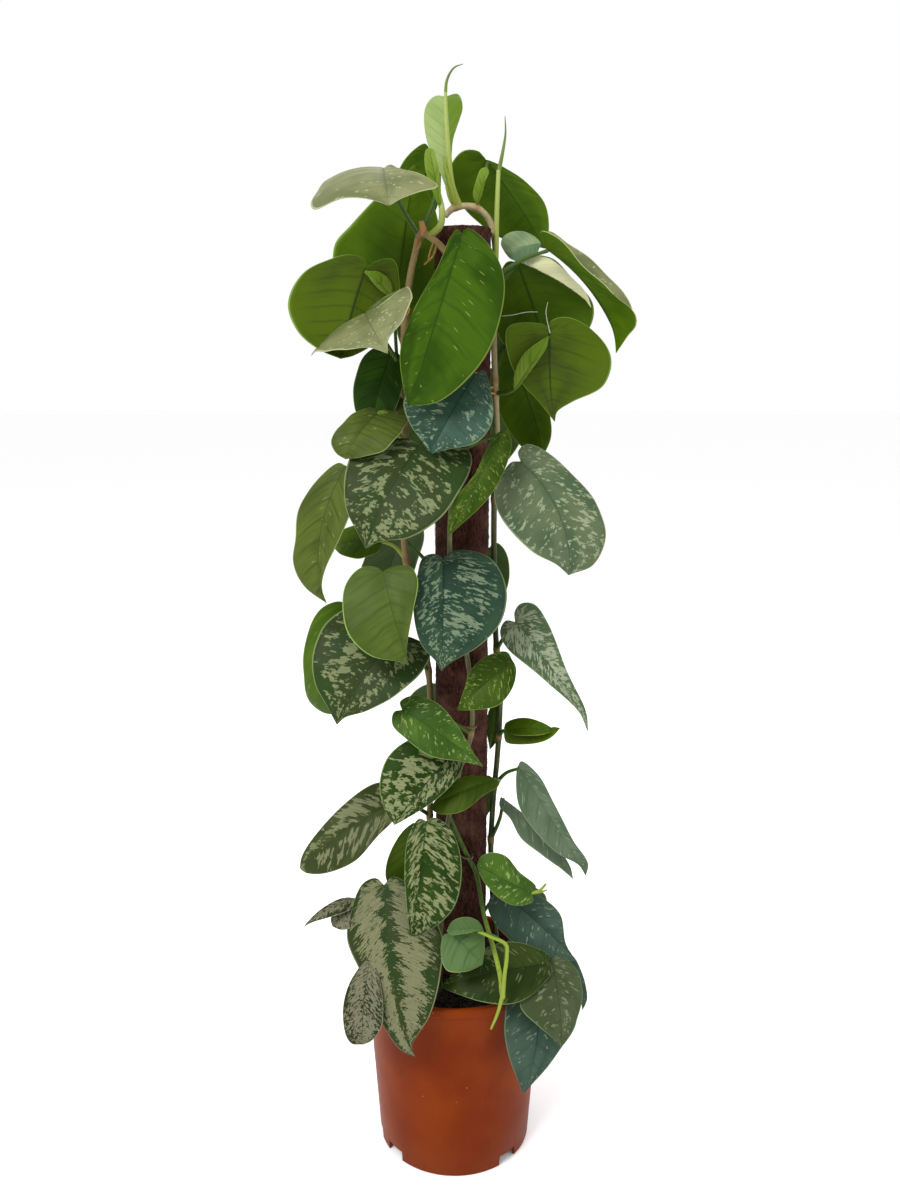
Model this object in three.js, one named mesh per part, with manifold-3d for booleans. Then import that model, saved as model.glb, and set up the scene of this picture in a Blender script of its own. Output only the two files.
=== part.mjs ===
// A satin pothos climbing a coir pole in a plastic nursery pot.
// Millimetres, +Z up, the front of the plant towards -Y, origin in the middle of the pot's base.

import * as THREE from 'three';
import { mergeVertices } from 'three/addons/utils/BufferGeometryUtils.js';
import Module from 'manifold-3d';

const wasm = await Module();
wasm.setup();

// Driving dimensions of the pot, the soil and the pole.
const POT = {
  rimDiameter: 190,
  baseDiameter: 158,
  height: 197,
  wall: 2.4,
  lipHeight: 11,
  lipProud: 3.2,
  lipShoulder: 2.5,
  lipRound: 1.5,
  floorRise: 12,
  padRadius: 42,
  padSlope: 4,
  facets: 32,
};
const FOOT_NOTCH = { width: 22, height: 10.5, depth: 14, angles: [-81, -51, 43.5, 99, 129, 223.5] };
const DRAIN = { radius: 5, ring: 61, count: 6, facets: 10 };
const SOIL = { top: 184, edgeDip: 5, mound: [[80, -2], [60, 1], [35, 4], [0, 4]] };
const POLE = { diameter: 54, top: 922, offset: 6.3, seamAngle: 20, seamStep: 2.2, facets: 32 };
const FIT = 0.3;
const SOIL_GRIP = 45;
const CRUMB = 2;

// Thicknesses of the plant's own parts.
const BLADE = { thickness: 0.9, rows: 7, columns: 2 };
const SMALL_BLADE = { underWidth: 61, rows: 6, columns: 1 };
const STALK = { atStem: 2.3, atBlade: 1.5, intoBlade: 2.5, sides: 4, steps: 4 };
const SHOOT = { taper: 1.5, sides: 5, steps: 5, stepLength: 20 };
const STEM = { sides: 6, stepLength: 30, boreSides: 8 };
const FAR_STEM = { out: 31.5, sway: 6, heights: [190, 260, 340, 420, 500, 580, 660, 740, 800, 850] };
const FAR_LEAF = { out: 34, footDrop: 45, kneeShare: 0.35, kneeDrop: 12, jointShare: 0.55, faceRise: 35 };
const PIN = { radius: 1.1, stemRadius: 2.4, play: 0.7, depth: 12, lead: 4, sides: 5, steps: 16 };
const PINNED = {
  pole_pin_upper: { height: 460.5, stemX: 15.9, stemForward: 30.8, legX: -4.7 },
  pole_pin_lower: { height: 325, stemX: 13.2, stemForward: 31, legX: 3 },
};

// The front of the plant is laid out as it is seen from this eye point: a place is named by its
// pixel in a 900 x 1200 picture and by its distance in front of the pole's axis.
const EYE = { distance: 980, height: 785, aside: -4.7, pitch: 11.85, focal: 1030, centre: [450, 600] };

const DEGREE = Math.PI / 180;

function seen(pixelX, pixelY, forward) {
  const across = (pixelX - EYE.centre[0]) / EYE.focal;
  const down = (pixelY - EYE.centre[1]) / EYE.focal;
  const c = Math.cos(EYE.pitch * DEGREE);
  const s = Math.sin(EYE.pitch * DEGREE);
  const reach = (EYE.distance - forward) / (c - down * s);
  return new THREE.Vector3(EYE.aside + across * reach, -forward, EYE.height - (s + down * c) * reach);
}

// A place beside the pole: angle 0 faces the viewer, 90 the right-hand side.
function around(angle, radius, height) {
  const turn = angle * DEGREE;
  return new THREE.Vector3(POLE.offset + radius * Math.sin(turn), -radius * Math.cos(turn), height);
}

function heading(azimuth, elevation) {
  const turn = azimuth * DEGREE;
  const rise = elevation * DEGREE;
  return new THREE.Vector3(
    Math.sin(turn) * Math.cos(rise), -Math.cos(turn) * Math.cos(rise), Math.sin(rise));
}

// Solids in and out of the boolean library.
function bare(geometry) {
  const copy = geometry.clone();
  copy.deleteAttribute('normal');
  copy.deleteAttribute('uv');
  return mergeVertices(copy, 1e-3);
}

function solidOf(geometry) {
  const merged = bare(geometry);
  const index = Array.from(merged.index.array);
  const kept = [];
  for (let i = 0; i < index.length; i += 3) {
    const [a, b, c] = index.slice(i, i + 3);
    if (a !== b && b !== c && c !== a) kept.push(a, b, c);
  }
  return new wasm.Manifold(new wasm.Mesh({
    numProp: 3,
    vertProperties: new Float32Array(merged.attributes.position.array),
    triVerts: new Uint32Array(kept),
  }));
}

function geometryOf(solid) {
  const mesh = solid.getMesh();
  const geometry = new THREE.BufferGeometry();
  geometry.setAttribute('position', new THREE.BufferAttribute(mesh.vertProperties, 3));
  geometry.setIndex(new THREE.BufferAttribute(mesh.triVerts, 1));
  return geometry;
}

// A crumb left where blades cross is dropped, but a real piece that came loose is an error.
function mainBody(solid) {
  const bodies = solid.decompose().sort((a, b) => b.volume() - a.volume());
  const loose = bodies.slice(1).find((body) => body.volume() > CRUMB);
  if (loose) throw new Error(`a piece is not joined at ${loose.boundingBox().min}`);
  return bodies[0];
}

function sweep(curve, radiusAt, sides, steps) {
  const tube = new THREE.CylinderGeometry(1, 1, 1, sides, steps);
  const frames = curve.computeFrenetFrames(steps, false);
  const place = tube.attributes.position;
  for (let i = 0; i < place.count; i += 1) {
    const step = Math.round((0.5 - place.getY(i)) * steps);
    const centre = curve.getPointAt(step / steps);
    const radius = radiusAt(step / steps);
    centre.addScaledVector(frames.normals[step], place.getX(i) * radius);
    centre.addScaledVector(frames.binormals[step], place.getZ(i) * radius);
    place.setXYZ(i, centre.x, centre.y, centre.z);
  }
  const solid = solidOf(tube);
  if (solid.volume() > 0) return solid;
  const flipped = tube.index.array;
  for (let i = 0; i < flipped.length; i += 3) [flipped[i], flipped[i + 1]] = [flipped[i + 1], flipped[i]];
  return solidOf(tube);
}

function upright(radius, low, high, x, y, facets) {
  const post = new THREE.CylinderGeometry(radius, radius, high - low, facets);
  post.rotateX(Math.PI / 2);
  post.translate(x, y, (high + low) / 2);
  return solidOf(post);
}

// Half the outline of a heart-shaped blade: along the midrib and across it, as shares of its
// length and of its half width, from the sinus round the lobe to the drawn-out tip.
const HALF_OUTLINE = new THREE.SplineCurve([
  new THREE.Vector2(0, 0),
  new THREE.Vector2(-0.07, 0.2),
  new THREE.Vector2(-0.09, 0.45),
  new THREE.Vector2(-0.01, 0.74),
  new THREE.Vector2(0.15, 0.94),
  new THREE.Vector2(0.36, 1),
  new THREE.Vector2(0.58, 0.87),
  new THREE.Vector2(0.77, 0.56),
  new THREE.Vector2(0.9, 0.24),
  new THREE.Vector2(1, 0),
]);
const VEIN_SWEEP = 0.22;
const VEIN_CURVE = 1.25;
const LOBE_REACH = -0.2;
const HOOK_START = 0.78;
const RIPPLE = { turns: 9, offset: 2 };

// How a blade is shaped, unless a leaf says otherwise. Lobe scales the lobes' depth, and a belly
// under 1 moves the widest place towards the tip. Skew widens the half on the leaf's right and
// slant slides it towards the tip. Arch and hook are shares of the length, cup and wave of the
// half width, and fold and twist are in degrees.
const RESTING_SHAPE = {
  lobe: 1, belly: 1, skew: 0, slant: 0, arch: 0.1, fold: 8, cup: 0.12, wave: 0, twist: 0, hook: 0.05,
};

function bladePoint(leaf, frame, side, along, across) {
  const half = (leaf.width / 2) * (1 + side * leaf.skew);
  const span = 2 * THREE.MathUtils.clamp(along, LOBE_REACH, 1) - 1;
  const lift = across * half * Math.sin(leaf.fold * DEGREE);
  const spread = across * half * Math.cos(leaf.fold * DEGREE);
  const turn = leaf.twist * DEGREE * along;
  const late = Math.max(0, (along - HOOK_START) / (1 - HOOK_START));
  const beat = RIPPLE.turns * along + (side > 0 ? 0 : RIPPLE.offset);
  const ripple = leaf.wave * half * across ** 2 * Math.sin(beat);
  const height = leaf.arch * frame.length * (1 - span ** 2) - leaf.cup * half * across ** 2
    + ripple - leaf.hook * frame.length * late ** 2;
  const y = side * (spread * Math.cos(turn)) - lift * Math.sin(turn);
  const z = height + lift * Math.cos(turn) + side * spread * Math.sin(turn);
  return frame.joint.clone()
    .addScaledVector(frame.axis, along * frame.length + leaf.slant * side * spread)
    .addScaledVector(frame.side, y)
    .addScaledVector(frame.normal, z);
}

function bladeFrame(leaf) {
  const axis = leaf.tip.clone().sub(leaf.joint);
  const length = axis.length();
  axis.normalize();
  const normal = leaf.face.clone().addScaledVector(axis, -leaf.face.dot(axis)).normalize();
  return { joint: leaf.joint, axis, normal, side: normal.clone().cross(axis), length };
}

function blade(leaf) {
  const frame = bladeFrame(leaf);
  const { rows, columns } = leaf.width < SMALL_BLADE.underWidth ? SMALL_BLADE : BLADE;
  const outline = HALF_OUTLINE.getPoints(rows).map(({ x, y }) => (
    { p: x < 0 ? x * leaf.lobe : x ** leaf.belly, q: y }));
  const corners = [];
  const offset = frame.normal.clone().multiplyScalar(BLADE.thickness / 2);
  const triangle = (a, b, c) => corners.push(...a, ...b, ...c);
  const quad = (a, b, c, d) => {
    triangle(a, b, c);
    triangle(a, c, d);
  };
  const faceOf = (side, face) => outline.map(({ p, q }) => {
    const root = Math.max(0, p - VEIN_SWEEP * q);
    return Array.from({ length: columns + 1 }, (_, column) => {
      const share = column / columns;
      const along = root + (p - root) * share ** VEIN_CURVE;
      return bladePoint(leaf, frame, side, along, q * share).addScaledVector(offset, face).toArray();
    });
  });
  for (const side of [-1, 1]) {
    const top = faceOf(side, 1);
    const under = faceOf(side, -1);
    const order = (a, b, c, d) => (side > 0 ? quad(a, b, c, d) : quad(d, c, b, a));
    for (let i = 0; i < rows; i += 1) {
      for (let j = 0; j < columns; j += 1) {
        order(top[i][j], top[i + 1][j], top[i + 1][j + 1], top[i][j + 1]);
        order(under[i][j], under[i][j + 1], under[i + 1][j + 1], under[i + 1][j]);
      }
      order(top[i][columns], top[i + 1][columns], under[i + 1][columns], under[i][columns]);
    }
  }
  const geometry = new THREE.BufferGeometry();
  geometry.setAttribute('position', new THREE.Float32BufferAttribute(corners, 3));
  return solidOf(geometry);
}

// The stalk runs from the stem through any places given between to the root of the midrib.
function stalk(leaf, spine) {
  const frame = bladeFrame(leaf);
  const rib = bladePoint(leaf, frame, 1, STALK.intoBlade / frame.length, 0);
  const points = [nearestOn(spine, leaf.stalk[0]), ...leaf.stalk.slice(1), rib];
  const path = new THREE.CatmullRomCurve3(points, false, 'centripetal');
  const radiusAt = (share) => THREE.MathUtils.lerp(STALK.atStem, STALK.atBlade, share);
  return sweep(path, radiusAt, STALK.sides, STALK.steps);
}

function nearestOn(spine, point) {
  const trials = spine.slice(1).map((end, i) => (
    new THREE.Line3(spine[i], end).closestPointToPoint(point, true, new THREE.Vector3())));
  return trials.reduce((best, trial) => (
    trial.distanceTo(point) < best.distanceTo(point) ? trial : best));
}

// A young leaf that is still rolled up, or a bare shoot: a tapering spear.
function spear({ route, thick, thin }, spine) {
  const places = [nearestOn(spine, route[0]), ...route.slice(1)];
  const path = new THREE.CatmullRomCurve3(places, false, 'centripetal');
  const radiusAt = (share) => THREE.MathUtils.lerp(thick, thin, share ** SHOOT.taper);
  const steps = Math.max(SHOOT.steps, Math.ceil(path.getLength() / SHOOT.stepLength));
  return sweep(path, radiusAt, SHOOT.sides, steps);
}

// A stem with its stalks, blades, shoots and side stems.
function growth({ radius, route, leaves = [], spears = [], branches = [] }) {
  const path = new THREE.CatmullRomCurve3(route, false, 'centripetal');
  const steps = Math.ceil(path.getLength() / STEM.stepLength);
  const spine = path.getSpacedPoints(steps);
  let solid = sweep(path, () => radius, STEM.sides, steps);
  for (const leaf of leaves) solid = solid.add(stalk(leaf, spine)).add(blade(leaf));
  for (const young of spears) solid = solid.add(spear(young, spine));
  for (const branch of branches) {
    const places = [nearestOn(spine, branch.route[0]), ...branch.route.slice(1)];
    solid = solid.add(growth({ ...branch, route: places }));
  }
  return solid;
}

// A leafy stem stands on a straight foot in the soil.
function vine(spec) {
  const { radius, route: [root] } = spec;
  const foot = upright(radius, SOIL.top - SOIL_GRIP, root.z + 1, root.x, root.y, STEM.sides);
  return mainBody(growth(spec).add(foot));
}

// A row of a table below names its places as the front view shows them.
function inView(row) {
  return {
    ...RESTING_SHAPE,
    ...row,
    stalk: row.stalk.map((place) => seen(...place)),
    joint: seen(...row.joint),
    tip: seen(...row.tip),
    face: heading(...row.face),
  };
}

// A leaf on the far side: it leaves the stem at a height and hangs outward from the pole.
function hanging({ angle, height, reach, drop, width, lean = 0, ...shape }) {
  const tipAngle = angle + lean;
  const outBy = (share) => FAR_LEAF.out + reach * share;
  return {
    ...RESTING_SHAPE,
    ...shape,
    width,
    stalk: [
      around(angle, outBy(0), height - FAR_LEAF.footDrop),
      around(angle, outBy(FAR_LEAF.kneeShare), height - FAR_LEAF.kneeDrop),
    ],
    joint: around(angle, outBy(FAR_LEAF.jointShare), height),
    tip: around(tipAngle, outBy(1), height - drop),
    face: heading(tipAngle, FAR_LEAF.faceRise),
  };
}

// The stems on the far side wander a little to and fro up the pole.
function farRoute(angle, beat, start) {
  return FAR_STEM.heights.map((height, step) => (
    around(angle + FAR_STEM.sway * Math.sin(beat * step + start), FAR_STEM.out, height)));
}

const shoot = (thick, thin, ...places) => ({
  thick, thin, route: places.map((place) => seen(...place)),
});

const LEFT_VINE = {
  radius: 3.2,
  route: [
    around(-106, 38, 190), seen(428, 880, -14), seen(430, 800, -14), seen(430, 690, -8),
    seen(421, 620, -6), seen(406, 560, -4), seen(403, 500, -4), seen(405, 430, -2),
    seen(404, 330, 4), seen(408, 290, 8), seen(415, 258, 14), seen(423, 236, 20),
    seen(434, 241, 27), seen(447, 254, 32), seen(457, 268, 33),
  ],
  leaves: [
    { stalk: [[421, 236, 18], [401, 200, 4]], joint: [387, 172, 0], tip: [389, 202, 84],
      width: 126, skew: -0.2, face: [0, 50], fold: 24, cup: 0.78, lobe: 1.4 },
    { stalk: [[424, 236, 16], [436, 190, -14]], joint: [428, 148, -34], tip: [410, 236, -52],
      width: 50, face: [170, 15] },
    { stalk: [[405, 430, -2], [398, 372, -16]], joint: [392, 325, -30], tip: [403, 162, -24],
      width: 100, skew: -0.12, slant: 0.05, belly: 0.7, face: [184, 4], lobe: 0.6 },
    { stalk: [[404, 315, 4], [394, 297, 16]], joint: [366, 269, 26], tip: [340, 360, 44],
      width: 100, skew: 0.12, slant: 0.25, belly: 0.9, face: [190, 10] },
    { stalk: [[404, 392, 0], [397, 362, 10]], joint: [365, 313, 20], tip: [384, 349, 104],
      width: 108, skew: -0.15, face: [-58, 52], cup: 0.16, lobe: 1.5 },
    { stalk: [[404, 400, 0], [402, 375, 2]], joint: [392, 352, 4], tip: [366, 426, 12],
      width: 46, belly: 0.7, slant: -0.15, face: [-20, 20] },
    { stalk: [[405, 450, -2], [401, 437, 10]], joint: [378, 411, 26], tip: [354, 458, 52],
      width: 62, skew: 0.1, slant: -0.55, belly: 0.75, face: [-12, 28] },
    { stalk: [[404, 500, -4], [410, 470, 18]], joint: [419, 446, 38], tip: [363, 544, 78],
      width: 90, skew: 0.1, slant: -0.7, lobe: 1.2, face: [-12, 22] },
    { stalk: [[403, 505, -4], [380, 478, -2]], joint: [346, 464, 8], tip: [321, 601, 24],
      width: 60, skew: -0.1, slant: -0.35, belly: 0.75, face: [-30, 10] },
    { stalk: [[405, 560, -4], [397, 548, -14]], joint: [384, 543, -22], tip: [334, 548, -40],
      width: 58, face: [-20, 40] },
    { stalk: [[406, 575, -4], [396, 570, 24]], joint: [383, 573, 60], tip: [406, 666, 88],
      width: 66, skew: -0.32, slant: 0.3, face: [-6, 18] },
    { stalk: [[428, 672, -7], [410, 650, 14]], joint: [390, 641, 34], tip: [335, 722, 66],
      width: 94, slant: -0.65, lobe: 1.2, face: [-10, 22] },
    { stalk: [[412, 598, -6], [380, 590, -18]], joint: [352, 602, -22], tip: [331, 714, -4],
      width: 64, slant: -0.25, belly: 0.75, face: [-40, 10] },
    { stalk: [[430, 815, -14], [414, 806, -4]], joint: [395, 800, 6], tip: [297, 868, 28],
      width: 52, skew: 0.1, slant: 0.2, belly: 0.7, face: [-20, 25] },
    { stalk: [[430, 850, -14], [418, 828, 0]], joint: [410, 822, 12], tip: [403, 882, 24],
      width: 40, face: [-20, 20] },
  ].map(inView),
  spears: [
    shoot(3.6, 2.6, [430, 238, 24], [441, 224, 24], [442, 205, 22], [437, 182, 20]),
    shoot(4.2, 0.7, [440, 215, 22], [439, 190, 21], [434, 170, 19], [431, 148, 17]),
  ],
};

const RIGHT_VINE = {
  radius: 2.9,
  route: [
    seen(499, 960, 4), seen(494, 917, 4), seen(491, 860, 2), seen(491, 838, -1), seen(494, 790, -4),
    seen(497, 760, -6), seen(500, 700, -8), seen(496, 640, -10), seen(494, 560, -11),
    seen(494, 515, -11), seen(495, 470, -11), seen(497, 430, -11), seen(495, 380, -11),
    seen(494, 335, -11), seen(495, 280, -11), seen(495, 245, -11), seen(493, 223, -9),
    seen(484, 210, -6), seen(470, 204, -3), seen(456, 207, 0), seen(445, 215, 2), seen(440, 222, 4),
  ],
  leaves: [
    { stalk: [[456, 207, 0], [448, 194, -5]], joint: [444, 178, -10], tip: [441, 95, -48],
      width: 38, skew: -0.1, belly: 0.6, arch: 0.24, face: [0, 30], lobe: 0.5 },
    { stalk: [[476, 206, -4], [474, 180, -8]], joint: [471, 155, -12], tip: [541, 247, -42],
      width: 70, skew: 0.3, slant: -0.2, belly: 0.75, face: [168, 12] },
    { stalk: [[494, 278, -11], [505, 270, -10], [526, 258, -8]], joint: [545, 249, -6],
      tip: [625, 349, 18], width: 84, face: [90, 35], fold: 46, cup: 0.05, arch: 0.02, belly: 0.6 },
    { stalk: [[494, 300, -11], [504, 280, -18]], joint: [518, 259, -28], tip: [550, 350, -46],
      width: 88, skew: -0.26, slant: -0.35, belly: 0.75, lobe: 3, face: [172, 8] },
    { stalk: [[496, 395, -11], [514, 389, 4]], joint: [550, 334, 4], tip: [554, 423, 22],
      width: 98, skew: -0.16, slant: -0.2, lobe: 1.8, face: [186, 5] },
    { stalk: [[495, 380, -11], [498, 362, -14]], joint: [504, 345, -18], tip: [547, 455, -26],
      width: 54, skew: -0.35, face: [156, 10] },
    { stalk: [[494, 500, -11], [505, 478, 6]], joint: [522, 463, 26], tip: [571, 574, 46],
      width: 78, skew: 0.06, slant: 0.75, belly: 0.8, lobe: 2, face: [8, 18] },
    { stalk: [[497, 650, -10], [503, 640, 2]], joint: [511, 634, 12], tip: [590, 728, 46],
      width: 46, skew: 0.3, belly: 1.2, lobe: 1.5, face: [16, 20] },
    { stalk: [[499, 700, -8], [496, 696, -8]], joint: [493, 706, -20], tip: [490, 752, -26],
      width: 15, face: [10, 10] },
    { stalk: [[499, 735, -7], [503, 731, 2]], joint: [508, 730, 10], tip: [561, 731, 28],
      width: 35, face: [10, 45] },
    { stalk: [[497, 785, -4], [505, 775, 4]], joint: [519, 768, 14], tip: [589, 875, 42],
      width: 39, skew: -0.08, slant: -0.3, lobe: 0.6, face: [18, 18] },
    { stalk: [[491, 838, 0], [500, 828, 3]], joint: [508, 812, 4], tip: [576, 878, 26],
      width: 40, face: [60, 40] },
    { stalk: [[496, 784, -4], [499, 781, 20]], joint: [497, 778, 38], tip: [430, 807, 52],
      width: 42, face: [0, 40] },
    { stalk: [[491, 866, 2], [498, 866, 26], [518, 884, 46]], joint: [530, 893, 52],
      tip: [478, 857, 56], width: 35, skew: -0.12, slant: -0.4, belly: 0.8, face: [0, 25] },
  ].map(inView),
  spears: [
    shoot(2.8, 0.6, [459, 207, 0], [450, 160, 6], [447, 95, 6], [447, 78, 6], [462, 65, 6]),
    shoot(2.6, 0.5, [495, 272, -11], [498, 250, -2], [498, 170, 2], [505, 118, 4]),
  ],
};

// The youngest stem leaves the front stem low down and hangs out over the pot's rim.
const YOUNG_STEM = {
  radius: 2.2,
  route: [
    seen(449, 816, 34), seen(459, 838, 32), seen(468, 857, 31), seen(476, 873, 34),
    seen(484, 920, 58), seen(490, 945, 78), seen(496, 970, 96), seen(500, 1000, 105),
  ],
  leaves: [
    { stalk: [[501, 975, 98], [500, 944, 102], [480, 934, 96]], joint: [451, 934, 88],
      tip: [483, 966, 104], width: 45, skew: 0.05, lobe: 1.4, face: [8, 26] },
  ].map(inView),
  spears: [
    shoot(1.6, 0.8, [499, 998, 105], [496, 1012, 107], [490, 1029, 109]),
    shoot(3.2, 1.2, [501, 1000, 105], [503, 975, 102], [502, 950, 99]),
  ],
};

const FRONT_VINE = {
  radius: 2.4,
  route: [
    seen(440, 946, 46), seen(442, 900, 44), seen(443, 860, 38), seen(449, 816, 34),
    seen(458, 775, 32), seen(471, 735, 30.5), seen(472, 700, 31), seen(466, 650, 31.5),
    seen(455, 600, 31.5), seen(450, 560, 31.5), seen(452, 500, 31.5), seen(462, 450, 31.5),
    seen(470, 410, 31.5), seen(474, 372, 31.5),
  ],
  leaves: [
    { stalk: [[474, 380, 31.5], [470, 320, 34], [466, 265, 38]], joint: [463, 234, 44],
      tip: [409, 406, 82], width: 83, skew: 0.32, slant: -0.5, belly: 0.72, face: [8, 12] },
    { stalk: [[472, 395, 31.5], [478, 382, 38]], joint: [476, 374, 42], tip: [431, 453, 66],
      width: 68, skew: -0.2, slant: -0.3, belly: 0.75, face: [0, 26] },
    { stalk: [[462, 450, 31.5], [482, 440, 42]], joint: [502, 431, 46], tip: [449, 536, 78],
      width: 36, skew: 0.1, belly: 0.8, face: [10, 20] },
    { stalk: [[450, 575, 31.5], [447, 563, 40]], joint: [443, 559, 48], tip: [441, 671, 76],
      width: 88, skew: 0.33, face: [4, 20] },
    { stalk: [[470, 680, 31], [492, 668, 36]], joint: [512, 660, 40], tip: [455, 709, 60],
      width: 36, slant: 0.5, face: [5, 30] },
    { stalk: [[471, 735, 31], [440, 716, 40]], joint: [402, 710, 48], tip: [485, 765, 62],
      width: 52, face: [0, 32] },
    { stalk: [[458, 775, 32], [458, 758, 40]], joint: [452, 754, 44], tip: [393, 825, 66],
      width: 64, skew: -0.1, slant: -0.55, belly: 0.75, face: [-5, 26] },
    { stalk: [[443, 860, 38], [436, 826, 54]], joint: [427, 817, 66], tip: [411, 940, 90],
      width: 56, skew: 0.38, belly: 0.8, face: [5, 15] },
  ].map(inView),
  branches: [YOUNG_STEM],
};

const LEFT_LOW_SPRAY = {
  radius: 3,
  route: [around(-70, 62, 190), around(-72, 62, 215), around(-72, 60, 240)],
  leaves: [
    { stalk: [[400, 950, 22], [380, 930, 40]], joint: [368, 920, 56], tip: [412, 1058, 118],
      width: 92, skew: 0.28, slant: 0.1, lobe: 3, fold: -10, face: [-12, 12] },
    { stalk: [[400, 930, 20], [372, 905, 34]], joint: [354, 900, 40], tip: [303, 924, 60],
      width: 26, face: [-20, 60] },
    { stalk: [[400, 960, 20], [380, 950, 52]], joint: [366, 958, 84], tip: [376, 1043, 112],
      width: 41, skew: -0.2, slant: 0.15, belly: 0.9, face: [-12, 15] },
  ].map(inView),
};

const RIGHT_LOW_SPRAY = {
  radius: 3,
  route: [around(62, 60, 190), around(62, 60, 215), around(60, 56, 250)],
  leaves: [
    { stalk: [[515, 940, 28], [530, 950, 40]], joint: [541, 962, 52], tip: [437, 986, 84],
      width: 60, skew: 0.15, slant: 0.25, face: [5, 42] },
    { stalk: [[515, 930, 28], [508, 905, 24]], joint: [500, 893, 20], tip: [578, 961, 46],
      width: 64, slant: 0.2, face: [12, 24] },
    { stalk: [[515, 950, 28], [535, 955, 42]], joint: [549, 965, 54], tip: [562, 1044, 90],
      width: 62, skew: -0.2, slant: 0.1, lobe: 1.8, face: [12, 25] },
    { stalk: [[515, 950, 28], [540, 952, 30]], joint: [562, 958, 30], tip: [583, 1012, 50],
      width: 40, face: [35, 30] },
    { stalk: [[515, 955, 28], [526, 965, 52]], joint: [538, 988, 72], tip: [525, 1097, 112],
      width: 64, slant: 0.05, face: [6, 22] },
  ].map(inView),
};

const BACK_LEFT_VINE = {
  radius: 3,
  route: farRoute(205, 1.3, 0),
  leaves: [
    hanging({ angle: 190, height: 886, reach: 90, drop: 92, width: 76, lean: 12 }),
    hanging({ angle: 200, height: 762, reach: 90, drop: 105, width: 82, lean: 4 }),
    hanging({ angle: 230, height: 636, reach: 78, drop: 100, width: 78, lean: -6 }),
    hanging({ angle: 185, height: 606, reach: 62, drop: 92, width: 66 }),
    hanging({ angle: 195, height: 468, reach: 78, drop: 92, width: 70, lean: 5 }),
    hanging({ angle: 225, height: 262, reach: 84, drop: 66, width: 70, lean: 6 }),
  ],
};

const BACK_RIGHT_VINE = {
  radius: 3,
  route: farRoute(152, 1.1, 1),
  leaves: [
    hanging({ angle: 150, height: 872, reach: 88, drop: 92, width: 74 }),
    hanging({ angle: 165, height: 792, reach: 88, drop: 100, width: 80, lean: -4 }),
    inView({ stalk: [[484, 580, -34], [486, 560, -36]], joint: [489, 548, -38],
      tip: [482, 626, -62], width: 44, face: [160, 20] }),
    hanging({ angle: 150, height: 380, reach: 20, drop: 66, width: 34, lean: 15 }),
    hanging({ angle: 140, height: 258, reach: 84, drop: 60, width: 72, lean: -5 }),
  ],
};

// The pot's wall, lip and stepped base, as one closed half section.
function potProfile() {
  const foot = POT.baseDiameter / 2;
  const rim = POT.rimDiameter / 2;
  const underLip = POT.height - POT.lipHeight;
  const neck = rim - POT.lipProud;
  const inside = (height) => THREE.MathUtils.lerp(foot, neck, height / underLip) - POT.wall;
  const ledge = POT.floorRise + POT.wall;
  const well = POT.padRadius;
  return { foot, rim, underLip, neck, inside, ledge, well };
}

function lathe(points, facets) {
  const turned = new THREE.LatheGeometry(points.map(([x, y]) => new THREE.Vector2(x, y)), facets);
  turned.rotateX(Math.PI / 2);
  return turned;
}

function pot() {
  const { foot, rim, underLip, neck, inside, ledge, well } = potProfile();
  const { padSlope, lipShoulder, lipRound, floorRise, height, wall } = POT;
  let solid = solidOf(lathe([
    [0, 0], [well, 0], [well + padSlope, floorRise], [inside(floorRise), floorRise],
    [inside(0), 0], [foot, 0], [neck, underLip], [rim, underLip + lipShoulder],
    [rim, height - lipRound], [rim - lipRound, height], [inside(underLip) + lipRound, height],
    [inside(underLip), height - lipRound], [inside(underLip), underLip], [inside(ledge), ledge],
    [well + padSlope - wall, ledge], [well - wall, wall], [0, wall],
  ], POT.facets));
  for (const angle of FOOT_NOTCH.angles) {
    const notch = new THREE.BoxGeometry(FOOT_NOTCH.width, FOOT_NOTCH.depth, FOOT_NOTCH.height * 2);
    notch.translate(0, POT.wall - foot, 0);
    notch.rotateZ(angle * DEGREE);
    solid = solid.subtract(solidOf(notch));
  }
  for (let i = 0; i < DRAIN.count; i += 1) {
    const turn = (2 * Math.PI * i) / DRAIN.count;
    const x = DRAIN.ring * Math.cos(turn);
    const y = DRAIN.ring * Math.sin(turn);
    solid = solid.subtract(upright(DRAIN.radius, floorRise - wall, ledge + wall, x, y, DRAIN.facets));
  }
  return solid;
}

function soil(vines) {
  const { inside, ledge, well } = potProfile();
  const edge = SOIL.top - SOIL.edgeDip;
  const floor = POT.wall + FIT;
  const play = POT.wall + FIT;
  let solid = solidOf(lathe([
    [0, floor], [well - play, floor], [well + POT.padSlope - play, ledge + FIT],
    [inside(ledge) - FIT, ledge + FIT], [inside(edge) - FIT, edge],
    ...SOIL.mound.map(([out, rise]) => [out, SOIL.top + rise]),
  ], POT.facets));
  const poleBore = POLE.diameter / 2 + FIT;
  solid = solid.subtract(upright(poleBore, 0, POT.height, POLE.offset, 0, POLE.facets));
  const boreEnd = SOIL.top - SOIL_GRIP - FIT;
  for (const { radius, route: [{ x, y }] } of vines) {
    solid = solid.subtract(upright(radius + FIT, boreEnd, POT.height, x, y, STEM.boreSides));
  }
  return solid;
}

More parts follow.
